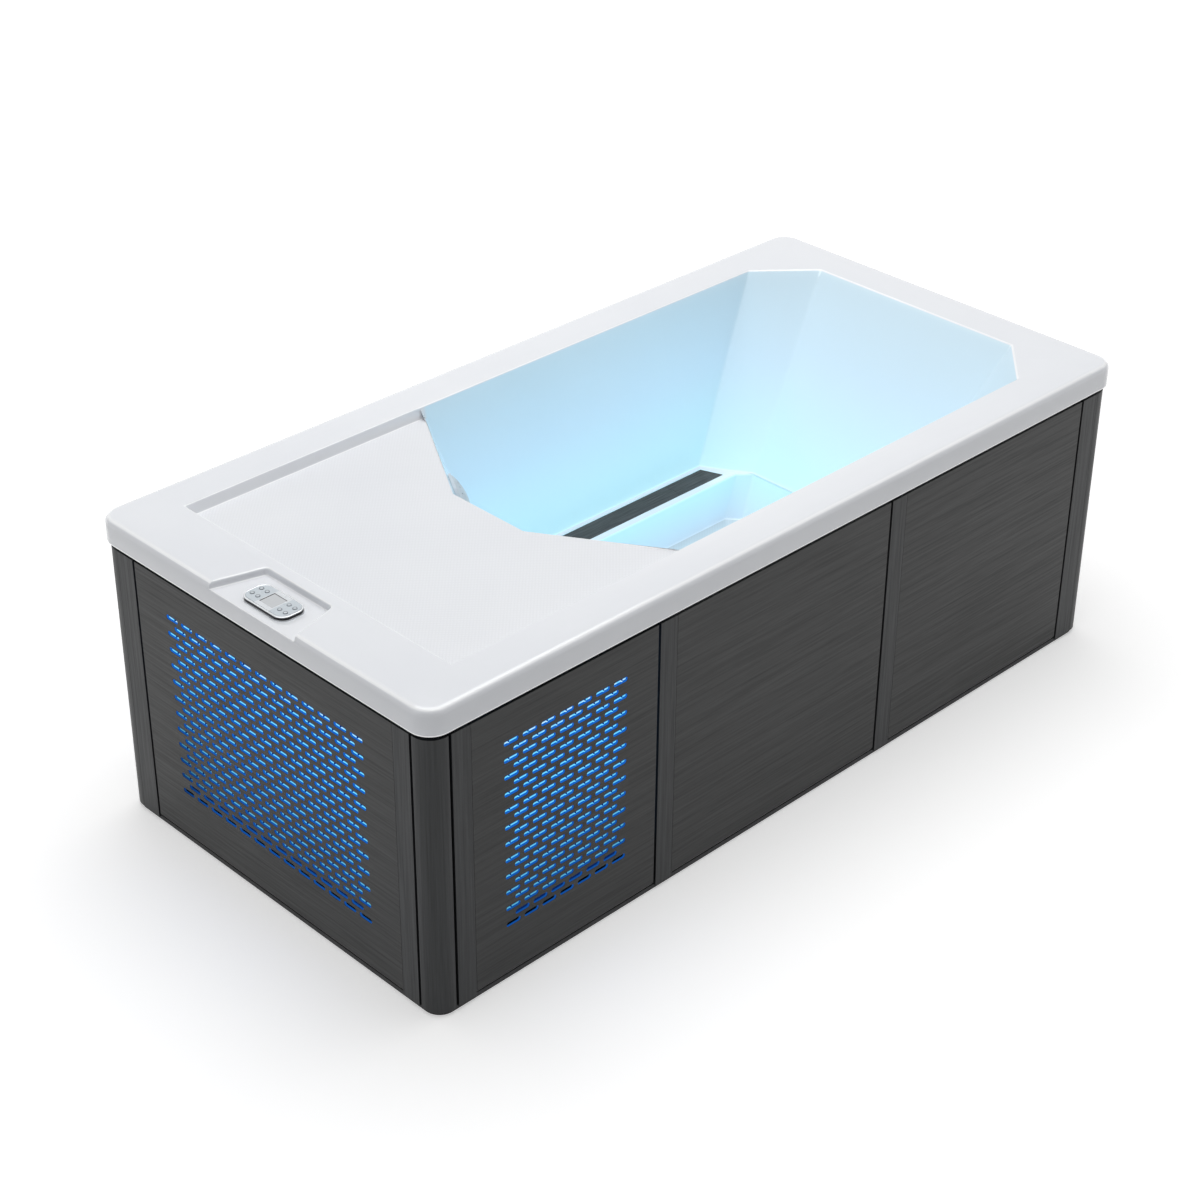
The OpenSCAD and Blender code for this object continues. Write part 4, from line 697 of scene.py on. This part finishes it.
def plain(name, colour, roughness, metallic=0.0, mottle=0.06):
    m, tree, shader, place = finish_material(name, colour, roughness, metallic)
    n = noise(tree, place, PLAIN_SCALE, PLAIN_DETAIL, (-900, 200))
    low, high = [tuple(c * k for c in colour) for k in (1 - mottle, 1 + mottle)]
    link(tree, ramp(tree, n, [(0.3, low), (0.7, high)]), shader.inputs["Base Color"])
    rougher, smoother = grey(min(1, roughness + 0.06)), grey(max(0.02, roughness - 0.05))
    link(tree, ramp(tree, n, [(0.3, rougher), (0.7, smoother)], (-500, -250)), shader.inputs["Roughness"])
    bump(tree, shader, n, RELIEF, RELIEF_DEPTH)
    return m, tree, shader, place


def dress(name, material):
    data = nodes[name].data
    data.materials.clear()
    data.materials.append(material)


FINISHES = {
    "black_tray": (("base_tray",), (0.02, 0.02, 0.022), 0.6, 0.0),
    "frame_paint": (("frame",), (0.05, 0.055, 0.06), 0.45, 0.0),
    "foam_block": (("basin_cradles",), (0.62, 0.58, 0.45), 0.85, 0.0),
    "sealed_board": (("bay_bulkhead",), (0.32, 0.24, 0.15), 0.6, 0.0),
    "foil_foam": (("insulation_boards",), (0.6, 0.62, 0.64), 0.35, 0.6),
    "moulded_grey": (("suction_fitting",), (0.56, 0.61, 0.65), 0.35, 0.0),
    "moulded_white": (("jet_body", "jet_nozzle"), (0.75, 0.78, 0.80), 0.25, 0.0),
    "polished_steel": (("drain_strainer", "drain_outlet"), (0.7, 0.71, 0.72), 0.14, 1.0),
    "pipe_plastic": (("water_pipes",), (0.72, 0.73, 0.73), 0.4, 0.0),
    "machined_brass": (("drain_valve_body", "pump_impeller"), (0.60, 0.42, 0.16), 0.3, 1.0),
    "red_handle": (("drain_handle",), (0.45, 0.03, 0.02), 0.4, 0.0),
    "filter_plastic": (("filter_housing",), (0.55, 0.58, 0.62), 0.35, 0.0),
    "dark_plastic": (("filter_lid", "fan_shroud", "fan_rotor"), (0.03, 0.03, 0.033), 0.45, 0.0),
    "pleated_media": (("filter_cartridge",), (0.78, 0.84, 0.88), 0.9, 0.0),
    "pump_blue": (("circulation_pump",), (0.03, 0.06, 0.14), 0.4, 0.0),
    "grey_case": (("heat_exchanger", "control_box"), (0.40, 0.42, 0.43), 0.5, 0.0),
    "can_paint": (("compressor",), (0.015, 0.015, 0.017), 0.25, 0.0),
    "finned_metal": (("condenser_coil", "fan_motor"), (0.55, 0.56, 0.57), 0.35, 1.0),
    "copper_pipe": (("refrigerant_lines",), (0.65, 0.28, 0.15), 0.28, 1.0),
    "gland_rubber": (("power_gland",), (0.02, 0.02, 0.02), 0.7, 0.0),
}
for name, (members, colour, roughness, metallic) in FINISHES.items():
    m = plain(name, colour, roughness, metallic)[0]
    for member in members:
        dress(member, m)
for name in nodes:
    if name.endswith("_panel"):
        dress(name, panel_finish)
    elif name.startswith("post_") or name.endswith("_strips"):
        dress(name, post_finish)
    elif name.endswith("_ledge_cover"):
        dress(name, inlay_finish)
print("plain finishes:", len(FINISHES))

# %% [markdown]
# ## The lit machine bay
# Behind the slots hangs a pleated dust screen, lit blue from a bar above it. Its pleats run
# along the rows of slots, so that each slot shows one bright crest. The walls of the slots
# catch the same light. Far from the lamp the glow fades: in the lowest rows, and most at the
# back of the end panel.
# It could be made with real lamps in the bay, but their light would be noisy through the
# slots; here the screen and the slot walls glow by themselves.

# %% The shared glow group
bay_glow = bpy.data.node_groups.new("bay_glow", "ShaderNodeTree")
bay_glow.interface.new_socket("Vector", in_out="INPUT", socket_type="NodeSocketVector")
bay_glow.interface.new_socket("Glow", in_out="OUTPUT", socket_type="NodeSocketFloat")
g_in = node(bay_glow, "NodeGroupInput", (-1400, 0))
g_out = node(bay_glow, "NodeGroupOutput", (400, 0))
FAR_SHADOW, LOW_SHADOW = 0.9, 0.42
TO_BACK, BELOW_LAMP, LOW_ROWS = (0.02, 0.36), (0.44, 0.16), (0.38, 0.15)
spot = g_in.outputs["Vector"]
away = level(bay_glow, spot, Y, *TO_BACK, (-900, 200))
lower = level(bay_glow, spot, Z, *BELOW_LAMP, (-900, -100))
low_rows = level(bay_glow, spot, Z, *LOW_ROWS, (-900, -400))
shadow = maths(bay_glow, "MAXIMUM", product(bay_glow, away, lower, FAR_SHADOW),
    product(bay_glow, low_rows, LOW_SHADOW))
link(bay_glow, maths(bay_glow, "SUBTRACT", 1.0, shadow, (200, 0)), g_out.inputs["Glow"])
print("glow group:", len(bay_glow.nodes), "nodes")


def glow_of(tree, place):
    g = node(tree, "ShaderNodeGroup", (-900, -1200), node_tree=bay_glow)
    link(tree, place, g.inputs["Vector"])
    return g.outputs["Glow"]


# %% Pleated screens
ROW, FRONT_CREST, END_CREST = 0.018853, 0.3083, 0.3024
END_SCREEN, BY_LAMP, CREST_ONLY = (-0.945, -0.955), (0.47, 0.53), (0.4, 0.6)
GREEN = 1
screen, tree, shader, place = finish_material("lit_screen", (0.01, 0.05, 0.12), 0.6)
at_end = level(tree, place, X, *END_SCREEN, (-1000, -300))
crest = maths(tree, "SUBTRACT", FRONT_CREST, maths(tree, "MULTIPLY", at_end, FRONT_CREST - END_CREST))
over_crest = maths(tree, "SUBTRACT", part_of(tree, place, Z, (-1200, 0)), crest)
pleat = maths(tree, "FRACT", maths(tree, "DIVIDE", over_crest, ROW), 0)
# Painted light and shade of the pleats: a bright crest and a dark trough in each row of slots.
pleats = ramp(tree, pleat, [(0.0, (0.0, 0.09, 0.60)), (0.05, (0.01, 0.30, 0.90)), (0.09, (0.20, 0.78, 1.0)),
    (0.20, (0.20, 0.78, 1.0)), (0.235, (0.01, 0.22, 0.75)), (0.27, (0.002, 0.02, 0.12)),
    (1.0, (0.0, 0.02, 0.15))], (-400, 300))
near_lamp = level(tree, place, Z, *BY_LAMP, (-1000, -600))
# Painted glints: speckles near the lamp turn the crests whiter.
sparkle = ramp(tree, noise(tree, place, 90, 2, (-900, -900)), [(0.42, grey(0.0)), (0.60, grey(0.75))],
    (-650, -900))
whiter = product(tree, near_lamp, sparkle, level(tree, pleats, GREEN, *CREST_ONLY, (-400, -500)))
link(tree, mix(tree, whiter, pleats, (0.85, 0.97, 1.0), (-100, 300)), shader.inputs["Emission Color"])
link(tree, glow_of(tree, place), shader.inputs["Emission Strength"])
dress("dust_screens", screen)
print("pleats:", ROW / MM, "mm apart")


# %% Walls of the slots
WALL_SIDE, WALL_END, WALL_LOW, WALL_HIGH = (0.4836, 0.4830), (-0.9936, -0.9930), (0.126, 0.127), (0.550, 0.549)
WALL_GLOW, BLEND = 0.9, 0.001
FIELD_SIDE, FIELD_END = (-0.6635, 0.180), (-0.008, 0.318)


def lit_grille(name, axis, middle, half):
    """The panel's grain, with a glow on the walls of the slots just behind the face."""
    m = board(name, DARK, LIGHT, LEVEL_GRAIN, PANEL_SHEEN)
    tree = m.node_tree
    shader = tree.nodes["Principled BSDF"]
    place = tree.nodes["Texture Coordinate"].outputs["Object"]
    behind = product(tree, between(tree, distance(tree, place, Y), *WALL_SIDE), level(tree, place, X, *WALL_END),
        level(tree, place, Z, *WALL_LOW), level(tree, place, Z, *WALL_HIGH),
        level(tree, place, axis, middle - half, middle - half + BLEND),
        level(tree, place, axis, middle + half, middle + half - BLEND))
    shader.inputs["Emission Color"].default_value = (0.004, 0.13, 0.62, 1)
    link(tree, product(tree, behind, glow_of(tree, place), WALL_GLOW), shader.inputs["Emission Strength"])
    return m


side_grille = lit_grille("lit_grille_side", X, *FIELD_SIDE)
dress("front_grille_panel", side_grille)
dress("back_grille_panel", side_grille)
dress("end_grille_panel", lit_grille("lit_grille_end", Y, *FIELD_END))
print("fields of slots:", FIELD_SIDE, FIELD_END)

# %% Light bars and the basin lamp
bars, tree, shader, _ = plain("lit_bar", (0.05, 0.12, 0.16), 0.4)
shader.inputs["Emission Color"].default_value = (0.25, 0.8, 1.0, 1)
facing = node(tree, "ShaderNodeNewGeometry", (-1100, -600))
link(tree, level(tree, facing.outputs["Normal"], Z, -0.5, -0.9), shader.inputs["Emission Strength"])
dress("bay_light_bars", bars)
lamp, _, shader, _ = plain("lamp_lens", (0.7, 0.92, 1.0), 0.15)
shader.inputs["Emission Color"].default_value = (0.45, 0.85, 1.0, 1)
shader.inputs["Emission Strength"].default_value = 0.8
dress("basin_light", lamp)
print("lamps dressed:", bars.name, lamp.name)

# %% [markdown]
# ## The control pad
# The pad is a small chromed casting with a rounded outline, a raised rim and a sunk face
# with a display and rubber buttons. A rounded box would lack its bowed ends, so it starts as
# a flat cylinder whose ring is moved to the pad's outline. Its top is inset and raised, then
# inset and pushed down, and its edges are bevelled.

# %% Casing of the pad
PAD_X, PAD_Y, PAD_W, PAD_L, PAD_H = -946, 1, 68, 130, 9
PAD_CORNER, PAD_END, PAD_RIM, FACE_T = 24, 76, 5.5, 1.2
FLANGE_T, FLANGE_W = 1.5, 1.8
PAD_TOP = POCKET_Z + PAD_H
PAD_POINTS, HALVINGS = 96, 40
RIM_SOFT, RIM_STEPS, SHARP, SMOOTH_SMALL = 1.2, 4, 0.5, math.radians(40)


def in_pad(x, y):
    dx, dy = max(abs(x) - (PAD_W / 2 - PAD_CORNER), 0), max(abs(y) - (PAD_L / 2 - PAD_CORNER), 0)
    return math.hypot(dx, dy) <= PAD_CORNER and math.hypot(x, y) <= PAD_END


def pad_ring(count):
    """Points on the pad's outline, found by halving along each ray."""
    ring = []
    for i in range(count):
        c, s = math.cos(2 * math.pi * i / count), math.sin(2 * math.pi * i / count)
        low, high = 0.0, float(PAD_L)
        for _ in range(HALVINGS):
            middle = (low + high) / 2
            low, high = (middle, high) if in_pad(middle * c, middle * s) else (low, middle)
        ring.append((PAD_X + low * c, PAD_Y + low * s))
    return ring


ring = pad_ring(PAD_POINTS)
casing = prism("pad_casing", ring, POCKET_Z, ring, POCKET_Z + FLANGE_T)
choose(casing, "FACE", looks_up)
bpy.ops.mesh.inset(thickness=FLANGE_W * MM)
bpy.ops.mesh.extrude_region_move(TRANSFORM_OT_translate={"value": (0, 0, (PAD_H - FLANGE_T) * MM)})
bpy.ops.mesh.inset(thickness=(PAD_RIM - FLANGE_W) * MM)
bpy.ops.mesh.extrude_region_move(TRANSFORM_OT_translate={"value": (0, 0, -FACE_T * MM)})
rounded = choose(casing, "EDGE", lambda e: all(v.co.z > (PAD_TOP - 0.1) * MM for v in e.verts)
    and e.calc_face_angle(0) > SHARP)
bpy.ops.mesh.bevel(offset=RIM_SOFT * MM, segments=RIM_STEPS, affect="EDGES")
settle()
pick(casing)
bpy.ops.object.shade_smooth_by_angle(angle=SMOOTH_SMALL)
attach(casing, "tub")
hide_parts("keypad_housing")
print("pad casing:", len(casing.data.polygons), "faces,", rounded, "edges rounded")

# %% [markdown]
# The casing is chromed, so its side would mirror the dark studio as one black stripe between
# the light flange and the bright rim. That stripe is a painted reflection, laid into the base
# colour by height, so it is there in any room.

# %% Chrome of the casing
chrome, tree, shader, place = finish_material("chromed_rim", (0.80, 0.81, 0.82), 0.16, 0.7)
BLACK = (0.012, 0.012, 0.014)
rise_up = level(tree, place, Z, POCKET_Z * MM, PAD_TOP * MM, (-900, 200))
# Painted reflection: a black stripe on the side of the casing, set by height in the base colour.
reflection_band = ramp(tree, rise_up, [(0.0, (0.62, 0.65, 0.68)), (0.17, (0.80, 0.82, 0.84)), (0.22, BLACK), (0.76, BLACK),
    (0.83, (0.50, 0.52, 0.55)), (0.92, (0.76, 0.78, 0.80))], (-600, 200))
wear = ramp(tree, noise(tree, place, 300, 3, (-900, -300)), [(0.3, grey(0.12)), (0.7, grey(0.22))], (-600, -300))
link(tree, reflection_band, shader.inputs["Base Color"])
link(tree, wear, shader.inputs["Roughness"])
casing.data.materials.append(chrome)
print("chrome band:", round(POCKET_Z + 0.22 * PAD_H, 1), "to", round(POCKET_Z + 0.76 * PAD_H, 1), "mm")

# %% Printed face and display
PRINT_Y, WINDOW_W, WINDOW_L = 22, 36, 38
WAVE, WAVE_SCALE, LEFT_SHADOW, BACK_SHADOW = 8, 55, (2.2, 1.8), (1.6, 1.2)
face, tree, shader, place = plain("pad_overlay", (0.66, 0.70, 0.75), 0.3, mottle=0.02)
from_middle = maths(tree, "SUBTRACT", part_of(tree, place, Y, (-1400, -700)), PAD_Y * MM)
off_middle = maths(tree, "ABSOLUTE", from_middle, 0)
wavy = maths(tree, "MULTIPLY", noise(tree, place, WAVE_SCALE, 1, (-900, -900)), WAVE * MM)
printed = between(tree, maths(tree, "ADD", off_middle, wavy), (PRINT_Y + 3) * MM, (PRINT_Y + 4) * MM)
overlay = mix(tree, printed, (0.74, 0.77, 0.80), (0.58, 0.635, 0.68), (-200, 400))
link(tree, overlay, shader.inputs["Base Color"])
dress("keypad_face", face)
display, tree, shader, place = plain("display_glass", (0.58, 0.60, 0.62), 0.12, mottle=0.03)
left, back = PAD_Y + WINDOW_L / 2, PAD_X + WINDOW_W / 2
# Painted shadow: the display is darkened along its left and back edges, where the recess would shade it.
left_shadow = level(tree, place, Y, (left - LEFT_SHADOW[0]) * MM, (left - LEFT_SHADOW[1]) * MM, (-900, -700))
back_shadow = level(tree, place, X, (back - BACK_SHADOW[0]) * MM, (back - BACK_SHADOW[1]) * MM, (-900, -900))
shaded = mix(tree, maths(tree, "MAXIMUM", left_shadow, back_shadow), (0.58, 0.60, 0.62), (0.03, 0.03, 0.035),
    (-200, 400))
link(tree, shaded, shader.inputs["Base Color"])
dress("lcd_window", display)
print("overlay and display:", face.name, display.name)

# %% Eight buttons
BUTTON_R, BUTTON_SIDES, BUTTON_SOFT = 4.7, 32, 0.25
RING_W, RING_SINK, DOME_IN, DOME_UP = 0.9, 0.35, 0.5, 0.3
BUTTONS = 8
rubber = plain("button_rubber", (0.60, 0.64, 0.68), 0.45)[0]
button_edge = plain("button_edge", (0.24, 0.27, 0.30), 0.45)[0]
for number in range(1, BUTTONS + 1):
    low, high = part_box(f"button_{number}")
    mid = (low + high) / 2
    settle()
    bpy.ops.mesh.primitive_cylinder_add(vertices=BUTTON_SIDES, radius=BUTTON_R * MM, depth=high.z - low.z,
        location=mid)
    cap = bpy.context.active_object
    cap.name = f"button_cap_{number}"
    bpy.ops.object.transform_apply(location=True, rotation=True, scale=True)
    cap.data.materials.append(button_edge)
    cap.data.materials.append(rubber)
    choose(cap, "FACE", looks_up)
    for inward, move in ((RING_W, -RING_SINK), (DOME_IN, DOME_UP)):
        bpy.ops.mesh.inset(thickness=inward * MM)
        bpy.ops.mesh.extrude_region_move(TRANSFORM_OT_translate={"value": (0, 0, move * MM)})
    cap.active_material_index = 1
    bpy.ops.object.material_slot_assign()
    choose(cap, "EDGE", lambda e: all(v.co.z > high.z - MM / 10 for v in e.verts)
        and e.calc_face_angle(0) > SHARP)
    bpy.ops.mesh.bevel(offset=BUTTON_SOFT * MM, segments=2, affect="EDGES")
    settle()
    pick(cap)
    bpy.ops.object.shade_smooth_by_angle(angle=SMOOTH_SMALL)
    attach(cap, f"button_{number}")
    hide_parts(f"button_{number}")
print("buttons made:", BUTTONS)

# %% [markdown]
# ## Floor, background and light
# The tub stands on a white studio floor. Lamps bright enough to turn that floor white would
# burn out the rim, so they stay at a plain level, and the floor and the world are made
# white only for the camera and for reflections.

# %% Floor and world
FLOOR_SIDE, NEAR_WHITE, MORE_WHITE, WHITE_RUN, PLAIN_SKY = 60, 0.42, 0.8, (2.2, 4.5), 0.33


def seen_rays(tree, place):
    """1 for rays of the camera, of mirrors and of glass, and 0 for the light on the object."""
    path = node(tree, "ShaderNodeLightPath", place)
    rays = maths(tree, "MAXIMUM", path.outputs["Is Camera Ray"], path.outputs["Is Glossy Ray"])
    return maths(tree, "MAXIMUM", rays, path.outputs["Is Transmission Ray"])


settle()
bpy.ops.mesh.primitive_plane_add(size=FLOOR_SIDE, location=(0, 0, -0.0005))
floor = bpy.context.active_object
floor.name = "studio_floor"
floor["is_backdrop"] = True
paper, tree, shader, place = finish_material("studio_white", (0.88, 0.88, 0.88), 0.9)
shader.inputs["Emission Color"].default_value = (1, 1, 1, 1)
span = node(tree, "ShaderNodeVectorMath", (-900, -600), operation="LENGTH")
link(tree, place, span.inputs[0])
whiteness = maths(tree, "MULTIPLY", between(tree, span.outputs["Value"], *WHITE_RUN), MORE_WHITE)
whiteness = maths(tree, "ADD", whiteness, NEAR_WHITE)
seen = seen_rays(tree, (-600, -300))
link(tree, maths(tree, "MULTIPLY", seen, whiteness), shader.inputs["Emission Strength"])
floor.data.materials.append(paper)
world = bpy.data.worlds.new("studio")
scene.world = world
world.use_nodes = True
tree = world.node_tree
back = tree.nodes["Background"]
power = node(tree, "ShaderNodeMapRange", (-150, 0))
power.inputs["To Min"].default_value = PLAIN_SKY
power.inputs["To Max"].default_value = 1.0
link(tree, seen_rays(tree, (-700, 0)), power.inputs["Value"])
link(tree, power.outputs["Result"], back.inputs["Strength"])
back.inputs["Color"].default_value = (1, 1, 1, 1)
print("stage:", floor.name, world.name)


# %% Lamps
def softbox(name, place, aim, size, watts):
    data = bpy.data.lights.new(name, "AREA")
    data.shape, data.size, data.energy = "DISK", size, watts
    obj = bpy.data.objects.new(name, data)
    scene.collection.objects.link(obj)
    obj.location = place
    obj.rotation_euler = (Vector(aim) - Vector(place)).to_track_quat("-Z", "Y").to_euler()


softbox("top_softbox", (0.3, 0.4, 4.2), (0.1, 0, 0.4), 4.0, 108)
softbox("left_softbox", (-4.6, 0.4, 2.4), (-0.3, 0, 0.4), 2.6, 11)
print("lamps:", len(bpy.data.lights))

# %% Colour view and the visual box
scene.view_settings.view_transform = "Standard"
low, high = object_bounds()
print("visual box:", low[:], high[:])
